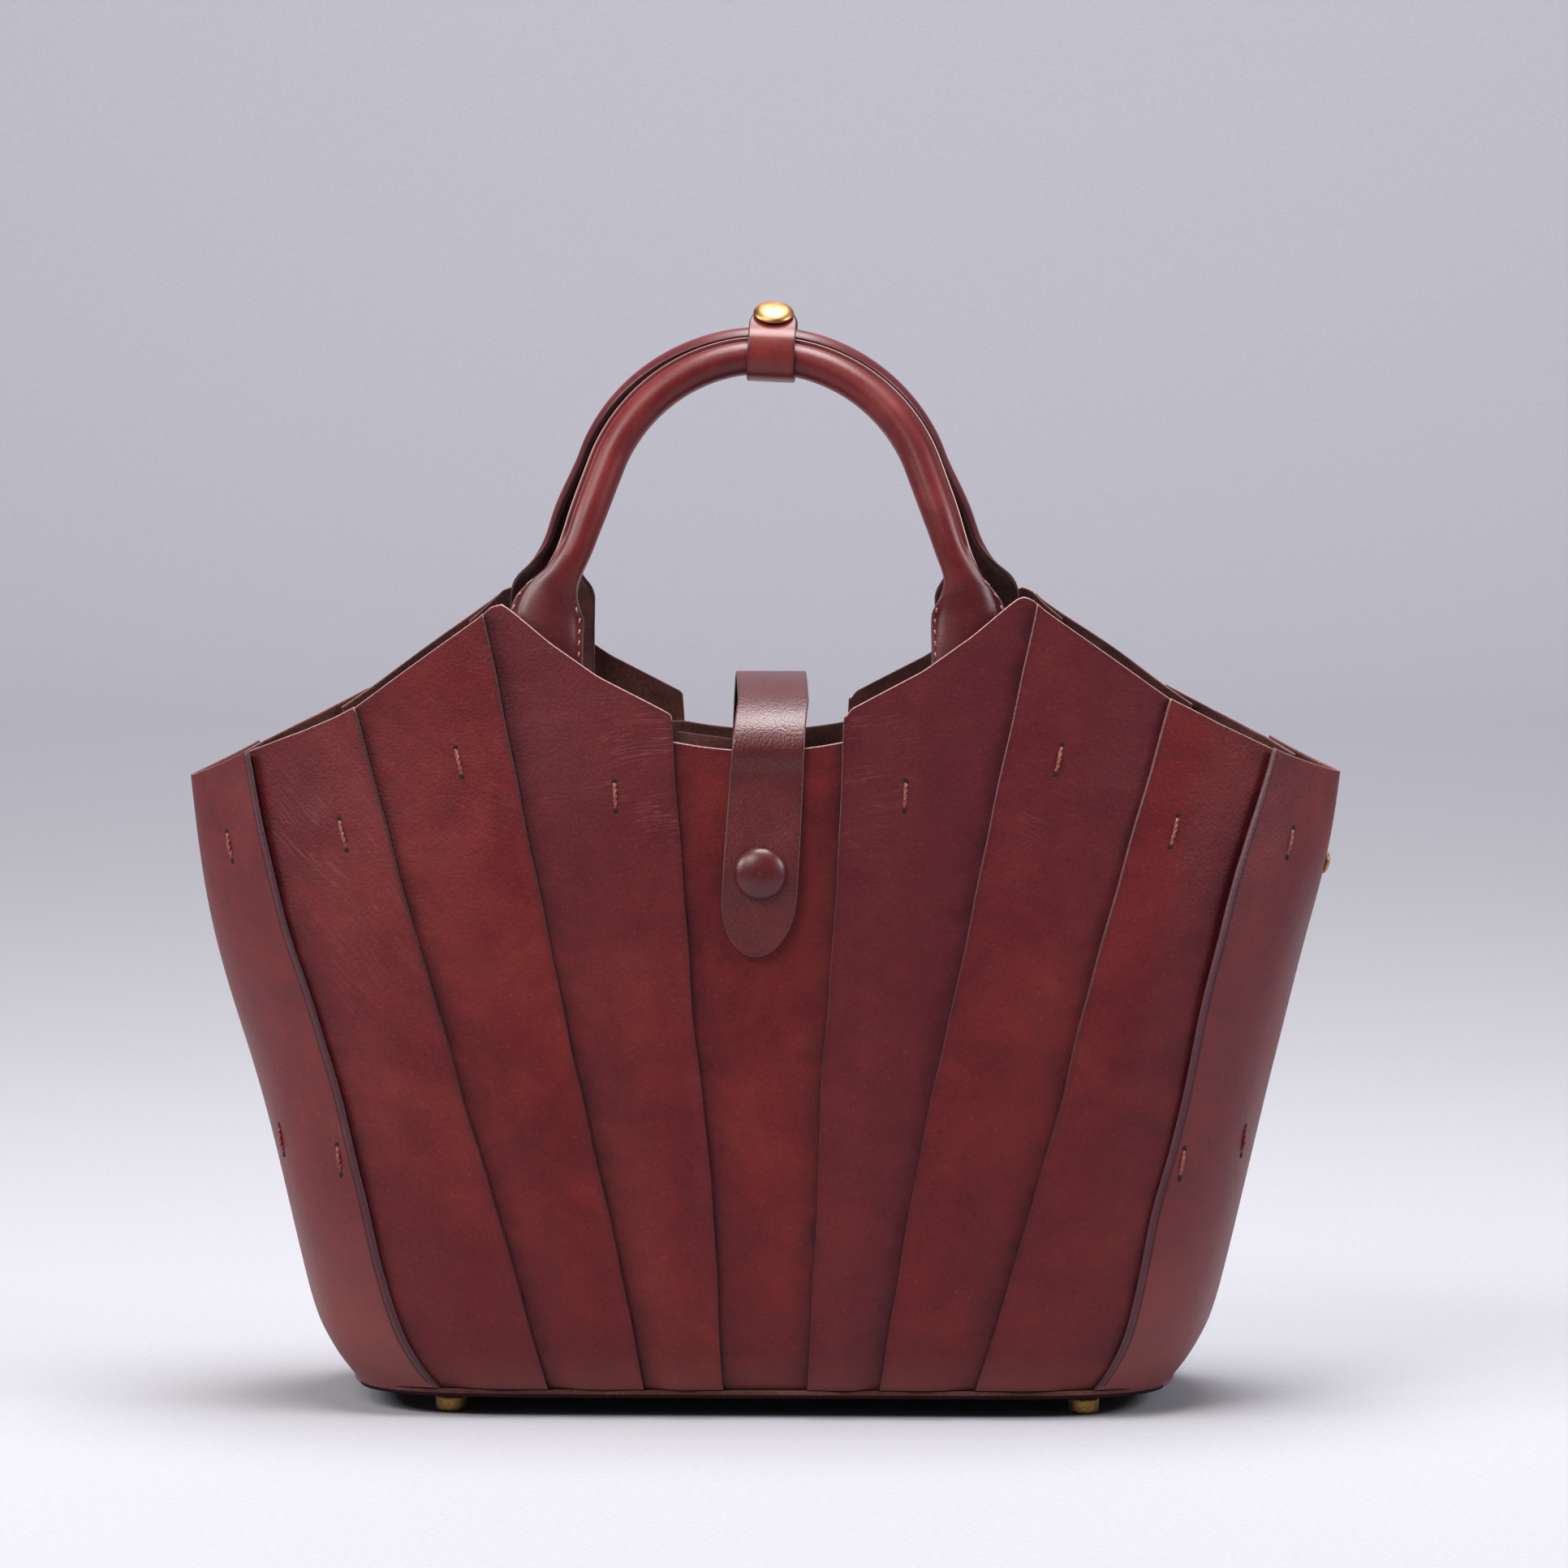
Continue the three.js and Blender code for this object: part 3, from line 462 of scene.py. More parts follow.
# Matt fibre with no gloss: nearly black with a little brown for the plugs that paint the awl holes'
# shade, a pale grey for the stage's paper
def mattFibre(name, fibreSize, stops):
    material, shader, add = newMaterial(name)
    place = add("TexCoord").outputs["Object"]
    fibre = add("TexNoise", {"Vector": place, "Scale": perSize(fibreSize), "Detail": 3})
    color = add("ValToRGB", {"Fac": fibre}, stops)
    setInputs(shader, {"Base Color": color, "Roughness": 0.9})
    return material


holeShade = mattFibre("painted_hole_shade", 0.6, [(0.4, "#0d0505"), (0.7, "#1f0c0c")])
print("materials made:", len(bpy.data.materials))


# The wall

# Inside of the wall at each height: |x / halfWidth|^frontPower + |y / halfDepth|^sidePower = 1 in plan
wall = {
    "height": [9, 18, 30, 48, 115, 180, 235, 290],
    "halfWidth": [143.0, 149.6, 156.0, 161.3, 177.3, 195.2, 203.6, 209.5],
    "halfDepth": [56.5, 59.9, 61.4, 61.5, 58.5, 53.8, 48.5, 41.0],
    "frontPower": [9.0, 9.0, 8.5, 7.8, 5.6, 4.0, 3.0, 2.6],
    "sidePower": [2.6, 2.6, 2.5, 2.4, 1.95, 1.5, 1.15, 1.1],
}
# Strips of the wall; worn places are centred at a height and a distance from the strip's own edge
panel = {"thickness": 2.0, "bottom": 9.8, "lap": 12.0, "raise": 2.12, "tuck": 1.5, "bulge": 0.9,
         "bulgeFrom": 0.3, "lift": 0.5, "liftReach": 5, "liftWave": 33, "liftHeights": (14, 40),
         "columns": 34, "rows": 92, "length": 240, "midHeight": 150, "centerRim": 235.0, "centerDip": 3.0,
         "centerLength": 226, "centerWidth": 80, "centerColumns": 42, "sideSeamInset": 25.6,
         "rimSteps": 24, "rimStride": 0.7, "underShadeDepth": 0.72, "underShadeReach": 4.5,
         "toneHeights": (110, 235), "wornHeight": [230, 215, 185], "wornOut": [8, 10, 24],
         "wornTall": [24, 20, 45], "wornWide": [24, 16, 30], "wornEdge": [0.3, 0.1, 0.1],
         "wornEdgeReach": 12, "wornLeft": [1.0, 0.6, 0.9], "wornRight": [0.6, 0.5, 0.15], "hideStep": 190,
         "hideSide": 700, "hideCenter": 2500, "hideFace": 600}
# Seams: straight lines by their distances out, low and high, and how far the cut strays at some heights
seams = {"low": [15.3, 42.0, 76.5], "lowHeight": 10, "high": [30.5, 98.5, 143.2],
         "highHeight": [247, 282, 250], "waver": 0.22, "waverLength": 17, "fineWaver": 0.13,
         "fineLength": 6.1, "height": [10, 69, 111, 140, 175, 203, 232, 250],
         "left": [[-2.8, -3.3, -2.6, -0.7, -0.1, 0.2, 0.4, 0.5],
                  [-1.7, -2.5, -1.7, -1.0, -1.4, -1.4, -1.3, -1.2],
                  [-1.9, -2.5, -1.1, -1.2, -0.5, -0.2, -0.1, 0.0],
                  [-6.1, -5.0, -4.4, -3.6, -1.2, 0.5, 2.4, 3.4]],
         "right": [[1.4, 0.5, -0.8, 0.0, 0.0, -0.3, -0.8, -1.0],
                   [0.0, -3.0, -3.3, -3.0, -3.0, -3.0, -3.0, -3.0],
                   [-1.0, 0.3, 0.5, -1.2, -1.0, -1.0, -1.0, -1.0],
                   [-1.7, -4.5, -4.2, -6.4, -7.8, -5.4, 0.3, 1.6]]}
# Rim of the strips: height at each distance out, and how far the front's two sides stray from it
rim = {"out": [30.4, 31.5, 37.5, 57.0, 74.0, 87.0, 91.3, 95.2, 99.0, 143.5, 160.0, 180.5, 204.0],
       "height": [246.2, 248.6, 251.8, 262.0, 273.8, 284.4, 287.5, 286.4, 282.8, 250.7, 242.0, 232.7,
                  222.5],
       "soften": 0.7, "strayOut": [34, 95, 150, 182, 204], "left": [-0.8, -1.8, -2.2, 0.0, -1.0],
       "right": [0.9, 1.2, 1.6, 0.6, 1.4], "backRaise": 1.6, "backRaiseOut": (100, 130),
       "paleDown": (0.6, 2.0)}
# Waves of the wall's soft unevenness: how high, how long across and up; the fine one slants
waves = {"broad": 0.5, "broadAcross": 31, "broadUp": 43, "fine": 0.22, "fineAcross": 13, "fineSlant": 29,
         "fineUp": 19, "fadeIn": (12, 40)}


# One column of the wall's table at a height
def wallAt(column, height):
    return readSmooth(wall, "height", column, height)


# Turn round the outline, 0 at the front's middle and a right angle at the side:
# asin((out / halfWidth)^(frontPower / 2))
def turnAt(out, height):
    part = np.minimum(np.abs(out) / wallAt("halfWidth", height), 1)
    return np.arcsin(part ** (wallAt("frontPower", height) / 2))


# Point of the wall at a turn, moved outwards along the outline's normal in plan
def wallPoint(turn, height, offset):
    a, b = wallAt("halfWidth", height), wallAt("halfDepth", height)
    p, q = wallAt("frontPower", height), wallAt("sidePower", height)
    s, c = np.sin(turn), np.clip(np.cos(turn), 0, None)
    nx, ny = p / a * s ** (2 - 2 / p), -q / b * c ** (2 - 2 / q)
    reach = offset / np.hypot(nx, ny)
    return gather(a * s ** (2 / p) + nx * reach, -b * c ** (2 / q) + ny * reach, height)


# Outer and inner face of a sheet on the wall, half its thickness to each side of its middle
def wallFaces(turn, height, middle, half, mirror):
    return wallPoint(turn, height, middle + half) * mirror, wallPoint(turn, height, middle - half) * mirror


# Seam's distance from the middle: its straight line, its straying and a waver of a few tenths of a mm
def seamAt(number, height, toRight):
    coarse = seams["waver"] * np.sin(height / seams["waverLength"] + 1.7 * number + toRight)
    fine = seams["fineWaver"] * np.sin(height / seams["fineLength"] + 2.9 * number)
    strays = {"height": seams["height"], "stray": seams[sideName(toRight)][number - 1]}
    stray = coarse + fine + readSmooth(strays, "height", "stray", height)
    if number > 3:
        return wallAt("halfWidth", height) - panel["sideSeamInset"] + stray
    low, high = seams["low"][number - 1], seams["high"][number - 1]
    rise = seams["highHeight"][number - 1] - seams["lowHeight"]
    return low + (high - low) * (height - seams["lowHeight"]) / rise + stray


# Rim height at a distance out: straight between the rows, averaged over a short reach to round corners
def rimAt(out, toRight, toBack):
    reach = np.linspace(-rim["soften"], rim["soften"], 7)
    level = np.mean([np.interp(out + shift, rim["out"], rim["height"]) for shift in reach], axis=0)
    if toBack > 0:
        return level + rim["backRaise"] * easeStep(out, *rim["backRaiseOut"]) * (toRight > 0)
    return level + np.interp(out, rim["strayOut"], rim[sideName(toRight)])


# Soft unevenness that all layers of the wall share, so that they bend together: sine across * sine up
def unevenness(x, height):
    swelling = np.sin(x / waves["broadAcross"] + 0.6)
    broad = waves["broad"] * swelling * np.sin(height / waves["broadUp"] + 1.1)
    slanting = np.sin(x / waves["fineAcross"] + height / waves["fineSlant"])
    fine = waves["fine"] * slanting * np.sin(height / waves["fineUp"] + 2.0)
    return (broad + fine) * easeStep(height, *waves["fadeIn"])


# Width of a strip: from its own seam to a lap beyond the next
def panelWidth(number, height, toRight):
    return seamAt(number + 1, height, toRight) + panel["lap"] - seamAt(number, height, toRight)


# Offset of a panel from the wall: raised over the neighbour nearer the middle, eased down to lie under the
# outer one, crowned a little between, its free edge lifting here and there
def panelOffset(number, out, height, toRight, toBack):
    phase = 1.3 * number + 2.1 * toRight + 0.7 * toBack
    fromEdge = out - seamAt(number, height, toRight)
    width = panelWidth(number, height, toRight)
    lap = panel["lap"]
    level = panel["raise"] * (1 - easeStep(fromEdge, lap, width - lap))
    across = (fromEdge - lap * panel["bulgeFrom"]) / (width - lap * (1 + panel["bulgeFrom"]))
    crown = panel["bulge"] * np.sin(np.pi * np.clip(across, 0, 1)) ** 2
    wave = 0.5 + 0.5 * np.sin(height / panel["liftWave"] + phase)
    lifted = panel["lift"] * np.exp(-np.clip(fromEdge, 0, None) / panel["liftReach"]) * wave
    lifted = lifted * easeStep(height, *panel["liftHeights"])
    return level + crown + lifted + unevenness(out * toRight, height)


# Rim height above each column, found by stepping towards the rim; lower where the outer neighbour covers it
def panelTops(number, parts, toRight, toBack):
    height = np.full(parts.shape, panel["centerRim"])
    for step in range(panel["rimSteps"]):
        out = seamAt(number, height, toRight) + parts * panelWidth(number, height, toRight)
        covered = np.clip((out - seamAt(number + 1, height, toRight)) / panel["lap"], 0, 1)
        height = blend(height, rimAt(out, toRight, toBack) - panel["tuck"] * covered, panel["rimStride"])
    return height


# Painted shade beside the strip that covers this one: depth * exp(-distance / reach), full below it
def underShade(distance):
    return panel["underShadeDepth"] * np.exp(-np.clip(distance, 0, None) / panel["underShadeReach"])


# Strength of the pale rim: full on the top edge, gone a little below it
def nearRim(below):
    return 1 - easeStep(below, *rim["paleDown"])


# Strength of the wear: a bell round the strip's worn place, and more along its own edge
def wornAt(number, fromEdge, height, toRight):
    place = number - 1
    up = (height - panel["wornHeight"][place]) / panel["wornTall"][place]
    aside = (fromEdge - panel["wornOut"][place]) / panel["wornWide"][place]
    alongEdge = panel["wornEdge"][place] * np.exp(-fromEdge / panel["wornEdgeReach"])
    strength = panel["wornRight" if toRight > 0 else "wornLeft"][place]
    return (np.exp(-up**2 - aside**2) + alongEdge) * strength


# Fanned strip: columns from its own seam to a lap beyond the next, rows from the base to the rim
def fannedPanel(node, number, toRight, toBack, tones, lay):
    parts = edgeSpaced(panelWidth(number, panel["midHeight"], toRight), panel["columns"])
    tops = panelTops(number, parts, toRight, toBack)
    height, above, below = sheetRows(panel["bottom"], tops, panel["length"], panel["rows"])
    width = panelWidth(number, height, toRight)
    fromEdge = parts * width
    out = seamAt(number, height, toRight) + fromEdge
    edge = np.minimum.reduce([fromEdge, width - fromEdge, above, below])
    middle = panelOffset(number, out, height, toRight, toBack) + panel["thickness"] / 2
    outer, inner = wallFaces(turnAt(out, height), height, middle, halfThickness(edge, panel["thickness"]),
                             np.array([toRight, -toBack, 1]))
    hidePlace = panel["hideStep"] * number + panel["hideSide"] * (toRight + 1.5 * toBack)
    # Painted shade beside the covering strip's edge; the pale rim; the worn place
    marks = {"under": underShade(width - panel["lap"] - fromEdge), "rimmed": nearRim(below),
             "worn": wornAt(number, fromEdge, height, toRight)}
    # Tone eased from the low value to the rim's; a rise to mauve near the rim partly paints a sheen
    tone = blend(*tones, easeStep(height, *panel["toneHeights"]))
    uv = gather(fromEdge + hidePlace, height)
    makeSheet("strip_" + node, outer, inner, edge, uv, [panelLeather, suede], node, tone,
              lay, marks)


# Middle strip: under both neighbours, its rim dipped in the middle
def centerPanel(node, toBack, tone, lay):
    parts = edgeSpaced(panel["centerWidth"], panel["centerColumns"]) * 2 - 1

    def reachAt(height):
        return np.where(parts < 0, seamAt(1, height, -1), seamAt(1, height, 1)) + panel["lap"]

    reach = reachAt(panel["centerRim"])
    shown = np.minimum(np.abs(parts) * reach / (reach - panel["lap"]), 1)
    tops = panel["centerRim"] + panel["centerDip"] * shown**2
    height, above, below = sheetRows(panel["bottom"], tops, panel["centerLength"], panel["rows"])
    reach = reachAt(height)
    out = parts * reach
    edge = np.minimum.reduce([(1 - np.abs(parts)) * reach, above, below])
    middle = panel["thickness"] / 2 + unevenness(out, height)
    outer, inner = wallFaces(turnAt(out, height), height, middle, halfThickness(edge, panel["thickness"]),
                             gather(np.where(out < 0, -1, 1), -toBack, 1))
    uv = gather(out + panel["hideCenter"] + panel["hideFace"] * toBack, height)
    # Painted shade beside both covering strips' edges; the pale rim
    marks = {"under": underShade(reach - panel["lap"] - np.abs(out)), "rimmed": nearRim(below)}
    makeSheet("strip_" + node, outer, inner, edge, uv, [panelLeather, suede], node, tone,
              lay, marks)


# Side strip: from the last seam on the front round the side to the last seam on the back; the fold at the
# side is softened by averaging each point with its neighbours. Hollows are (depth, height, reach)
sideStrip = {"seam": 4, "columns": 64, "length": 216, "girth": 118.0, "thickness": 2.3, "bevel": 1.5,
             "bevelPower": 1.6, "offEdge": 9.0, "drop": 2.5, "dropFrom": (0.1, 0.45), "lift": 1.0,
             "liftReach": 6, "liftWave": 27, "liftHeights": (10, 45), "topLift": 1.6, "topReach": 9,
             "topHeights": (130, 215), "softenPasses": 40, "softenFrom": (0.45, 0.8),
             "hollowFrom": (0.35, 0.9), "left": (-2.1, 148, 42), "right": (1.9, 165, 32), "hidePlace": 3600,
             "hideSide": 500}


# Turn at a share of the way from the last seam (0) to the middle of the side (1)
def sideTurn(toSide, height, toRight):
    return blend(turnAt(seamAt(sideStrip["seam"], height, toRight), height), np.pi / 2, toSide)


# Offset of the side strip from the wall: constant, with its free edge lifting off the strip beneath
def sideOffset(toSide, height, toRight):
    fromEdge = toSide * sideStrip["girth"] / 2
    wave = 0.55 + 0.45 * np.sin(height / sideStrip["liftWave"] + 2.0 * toRight)
    lifted = sideStrip["lift"] * np.exp(-fromEdge / sideStrip["liftReach"]) * wave
    lifted = lifted * easeStep(height, *sideStrip["liftHeights"])
    flared = sideStrip["topLift"] * np.exp(-fromEdge / sideStrip["topReach"])
    out = wallPoint(sideTurn(toSide, height, toRight), height, 0)[..., 0]
    depth, middle, reach = sideStrip[sideName(toRight)]
    hollow = depth * np.exp(-((height - middle) / reach) ** 2) * easeStep(toSide, *sideStrip["hollowFrom"])
    raised = panel["raise"] + lifted + flared * easeStep(height, *sideStrip["topHeights"]) - hollow
    return raised + unevenness(out * toRight, height) * (1 - toSide)


# Columns by share of the girth from the front's seam to the back's, rows from the base to the rim
def sidePanel(node, toRight, tone, lay):
    girth = sideStrip["girth"]
    parts = edgeSpaced(girth, sideStrip["columns"])
    toSide = 1 - np.abs(parts * 2 - 1)
    level = np.full(len(parts), panel["centerRim"])
    rimOut = wallPoint(sideTurn(toSide, level, toRight), level, 0)[:, 0]
    tops = blend(rimAt(rimOut, toRight, 1), rimAt(rimOut, toRight, -1), 1 - parts)
    bottom = panel["bottom"] - sideStrip["drop"] * easeStep(toSide, *sideStrip["dropFrom"])
    height, above, below = sheetRows(bottom, tops, sideStrip["length"], panel["rows"])
    fromEdge = np.minimum(parts, 1 - parts) * girth + 0 * height
    fromEnds = np.minimum(above, below)
    half = halfThickness(np.minimum(fromEdge, fromEnds), sideStrip["thickness"])
    bevel = halfThickness(fromEdge, sideStrip["thickness"], sideStrip["bevel"], sideStrip["bevelPower"])
    middle = sideOffset(toSide, height, toRight) + sideStrip["thickness"] / 2
    pull = easeStep(toSide, *sideStrip["softenFrom"])[None, :, None]

    def softened(offset):
        points = wallPoint(sideTurn(toSide, height, toRight), height, offset)
        points = points * gather(1, np.where(parts > 0.5, -1, 1), 1)
        for step in range(sideStrip["softenPasses"]):
            averaged = points.copy()
            averaged[:, 1:-1] = (points[:, :-2] + 2 * points[:, 1:-1] + points[:, 2:]) / 4
            points = blend(points, averaged, pull)
        return points * np.array([toRight, 1, 1])

    outer = softened(middle + np.minimum(bevel, half))
    uv = gather(parts * girth + sideStrip["hidePlace"] + sideStrip["hideSide"] * toRight, height)
    # The rim and the bottom have no bevel or groove, only a thin cut
    fromCut = np.where(fromEnds < fromEdge, sideStrip["offEdge"], fromEdge)
    edge = np.where(fromEnds < cutEdge["round"], fromEnds, fromCut)
    makeSheet("strip_" + node, outer, softened(middle - half), edge, uv, [sideLeather, suede], node,
              tone, lay, {"rimmed": nearRim(below)})
    return outer


# How far each strip leans from warm red to mauve, low down and near the rim, and the turn of its creases in
# radians, as strips cut from different places of a hide differ; a rise to mauve near the rim is partly a
# painted sheen
strips = {"front_left": {"tone": [(0.3, 0.75), (0.15, 0.2), (0.4, 0.45)], "lay": [0.15, -0.5, -1.0]},
          "front_right": {"tone": [(0.6, 0.85), (0.25, 0.7), (0.45, 0.2)], "lay": [-0.15, 0.4, 0.9]},
          "back_left": {"tone": [(0.15, 0.3), (0.3, 0.2), (0.2, 0.5)], "lay": [0.5, -0.2, 0.8]},
          "back_right": {"tone": [(0.1, 0.4), (0.25, 0.3), (0.35, 0.2)], "lay": [-0.6, 0.3, -0.4]},
          "center": {"tone": 0.2, "lay": 0.1}, "side": {"tone": 0.35, "lay": 1.2}}
for face, toBack in faceSigns.items():
    centerPanel(f"{face}_center_panel", toBack, **strips["center"])
    for side, toRight in sideSigns.items():
        for number, (tones, lay) in enumerate(zip(*strips[f"{face}_{side}"].values()), start=1):
            fannedPanel(f"{face}_{side}_panel_{number}", number, toRight, toBack, tones, lay)
sideFaces = {}
for side, toRight in sideSigns.items():
    sideFaces[side] = sidePanel(f"side_{side}_panel", toRight, **strips["side"])
print("wall strips made")


# Base: the outline of the wall's foot filled from its edge inwards, a thick sheet with rounded edges
base = {"underside": 7.0, "thickness": 2.7, "proud": -0.2, "drawnIn": (0.9, 1.35), "finePoints": 3000,
        "quarterPoints": 48, "ringsFrom": 5, "ringsTo": 56, "rings": 20, "fill": 60, "hidePlace": 5000}


# A quarter of the foot's outline from the front's middle to the side, its points evenly spaced along it
def footQuarter():
    turn = np.pi / 2 * np.linspace(0, 1, base["finePoints"]) ** 4
    covered = (sideStrip["thickness"] + base["proud"]) * (1 - easeStep(turn, *base["drawnIn"]))
    line = wallPoint(turn, np.full(turn.shape, panel["bottom"]), panel["raise"] + covered)[:, :2]
    along = distanceAlong(*line.T)
    even = np.linspace(0, along[-1], base["quarterPoints"] + 1)
    return gather(np.interp(even, along, line[:, 0]), np.interp(even, along, line[:, 1]))


# Rings of the outline drawn inwards, point * (1 - inwards / fill), half a thickness up and down
def basePanel():
    quarter = footQuarter()
    behind = quarter * np.array([1, -1])
    toLeft = np.array([-1, 1])
    quarters = [quarter[:-1], behind[:0:-1], (behind * toLeft)[:-1], (quarter * toLeft)[:0:-1]]
    outline = np.concatenate(quarters)
    inwards = np.r_[cutEdge["steps"], np.linspace(base["ringsFrom"], base["ringsTo"], base["rings"])]
    flat = outline[:, None, :] * (1 - inwards[None, :, None] / base["fill"])
    edge = np.broadcast_to(inwards, flat.shape[:2])
    half = halfThickness(edge, base["thickness"])[..., None]
    middle = base["underside"] + base["thickness"] / 2
    top = np.concatenate([flat, middle + half], axis=-1)
    bottom = np.concatenate([flat, middle - half], axis=-1)
    rows, columns = edge.shape
    upper = np.arange(rows * columns).reshape(rows, columns)
    lower = rows * columns + np.arange(rows * (columns - 1)).reshape(rows, columns - 1)
    lower = np.concatenate([upper[:, :1], lower], axis=1)
    points = np.concatenate([top.reshape(-1, 3), bottom[:, 1:].reshape(-1, 3)])
    faces = np.concatenate([gridFaces(upper, True), gridFaces(lower, True)[:, ::-1]])
    slots = np.concatenate([np.repeat([1, 0], len(faces) // 2), [1, 0]])
    uv = np.concatenate([flat.reshape(-1, 2), flat[:, 1:].reshape(-1, 2)])
    uv = uv + np.array([base["hidePlace"], 0])
    values = {"edge": np.concatenate([edge.ravel(), edge[:, 1:].ravel()]), "tone": 0.5}
    makePiece("base_sheet", points, faces, [baseLeather, suede], ["base_panel"],
              [upper[:, -1], lower[::-1, -1]], slots, values, uv)


basePanel()

# Feet: short turned pegs with rounded ends
foot = {"x": 112.0, "y": 45.0, "shift": 2.2,
        "profile": [(4.1, 0), (5.1, 0.45), (5.4, 1.3), (5.4, 3.0), (5.35, 4.8), (4.9, 5.6), (4.2, 6.0),
                    (4.1, 6.9)]}
for face, toBack in faceSigns.items():
    for side, toRight in sideSigns.items():
        place = (toRight * foot["x"] + foot["shift"], toBack * foot["y"], 0)
        makeTurned(f"peg_{face}_{side}", foot["profile"], place, (0, 0, 1), footBrass,
                   f"foot_{face}_{side}")
print("base and feet made")


# Handles

# Half the run of a handle from the top of its arch to the end of its tab; wider and flat go from the round
# handle (0) to the flat tab (1)
arch = {"radius": 60.0, "centerHeight": 312.0, "turn": 72.0, "steps": 9, "topDepth": 7.2, "lean": 0.376,
        "stations": 100}
legs = {"out": [62.6, 66.4, 69.9, 72.8, 74.2, 74.6, 74.6, 74.6],
        "height": [315.6, 304.5, 296.0, 288.5, 282.0, 268.0, 250.0, 245.0],
        "wider": [0, 0.05, 0.25, 0.7, 0.97, 1, 1, 0.8],
        "flat": [0, 0.1, 0.35, 0.75, 1, 1, 1, 1]}
tab = {"halfThickness": 1.5, "gap": 0.3, "settle": 2.5}


# Middle line of a handle, an arc and then the legs' rows, leaning back until the wall stops it; the depth
# is the softened lesser of the two. Gives its columns, points and directions across and through it
def handleRun(handle, toBack):
    turn = np.radians(arch["turn"]) * np.arange(arch["steps"] + 1) / arch["steps"]
    none = np.zeros(len(turn))
    wider = np.array(legs["wider"])
    radius = arch["radius"] + handle["archSpread"]
    legOut = np.array(legs["out"]) + blend(handle["legSpread"], handle["tabSpread"], wider)
    legShift = blend(handle["legShift"], handle["tabShift"], wider)
    table = {"out": np.r_[radius * np.sin(turn), legOut],
             "height": np.r_[arch["centerHeight"] + radius * np.cos(turn), legs["height"]],
             "wider": np.r_[none, wider], "flat": np.r_[none, legs["flat"]],
             "shift": np.r_[handle["legShift"] * np.sin(turn), legShift]}
    table["along"] = distanceAlong(table["out"], table["height"])
    along = np.linspace(0, table["along"][-1], arch["stations"])
    columns = ("out", "height", "wider", "flat", "shift")
    run = {key: readSmooth(table, "along", key, along) for key in columns}
    run["halfWidth"] = blend(handle["halfWidth"], handle["tabHalfWidth"], run["wider"])
    run["halfThickness"] = blend(handle["halfThickness"], tab["halfThickness"], run["flat"])
    run["dome"] = run["halfThickness"]
    if "dome" in handle:
        run["dome"] = readSmooth(handle, "height", "dome", run["height"])
    leaning = arch["topDepth"] + arch["lean"] * (arch["centerHeight"] + arch["radius"] - run["height"])
    turn = turnAt(run["out"] + run["halfWidth"], run["height"])
    thick = np.maximum(run["dome"], run["halfThickness"])
    onWall = -wallPoint(turn, run["height"], 0)[:, 1] - tab["gap"] - thick
    run["depth"] = -tab["settle"] * np.logaddexp(-leaning / tab["settle"], -onWall / tab["settle"])
    full = {key: np.r_[value[:0:-1], value] for key, value in run.items()}
    full["out"][:len(along) - 1] *= -1
    full["along"] = np.r_[-along[:0:-1], along]
    places = gather(full["out"] + full["shift"], toBack * full["depth"], full["height"])
    forward = unit(np.gradient(places, axis=0))
    across = unit(np.cross(np.array([0, toBack, arch["lean"]]), forward))
    return full, places, across, np.cross(forward, across)


# Points of a handle at distances across and through its middle line
def besideRun(places, across, through, x, y):
    return places[:, None, :] + x[..., None] * across[:, None, :] + y[..., None] * through[:, None, :]


# Front handle: a strip rolled round a cord and closed along its outer side, where its two edges stand as
# a narrow ridge. Section: x = halfWidth * cos, y = halfThickness * (1 - |cos|^n)^(1/n), n from 2 on the
# tube to 8 on the tab, with the tube's end as a dome that sinks into the tab
frontHandle = {"halfWidth": 5.5, "halfThickness": 5.5, "tabHalfWidth": 13.2, "archSpread": 0,
               "legSpread": 0, "tabSpread": 0, "legShift": 0.7, "tabShift": -1.5, "tubePower": 2,
               "tabPower": 8, "height": [245, 258, 268, 276, 284, 291, 298, 306, 318, 345, 373],
               "dome": [1.5, 2.2, 3.4, 4.4, 5.0, 5.2, 5.3, 5.5, 5.9, 6.0, 6.0],
               "domeHalf": [11.2, 11.2, 11.2, 10.8, 10.0, 8.4, 6.6, 5.6, 5.9, 6.0, 6.0], "ridge": 1.4,
               "ridgeTurn": 0.3, "ridgeHalf": 0.15, "ridgeFlank": (0.75, 1.35), "ridgeShift": -0.5,
               "groove": 0.25, "groovePlace": 1.7, "grooveHalf": 0.09, "valley": 0.8, "fineTurn": 0.62,
               "fineCount": 45, "coarseCount": 92, "edgeScale": 3.6, "hidePlace": 6000, "tubeTone": 0.1,
               "tabShadeTone": 0.7}


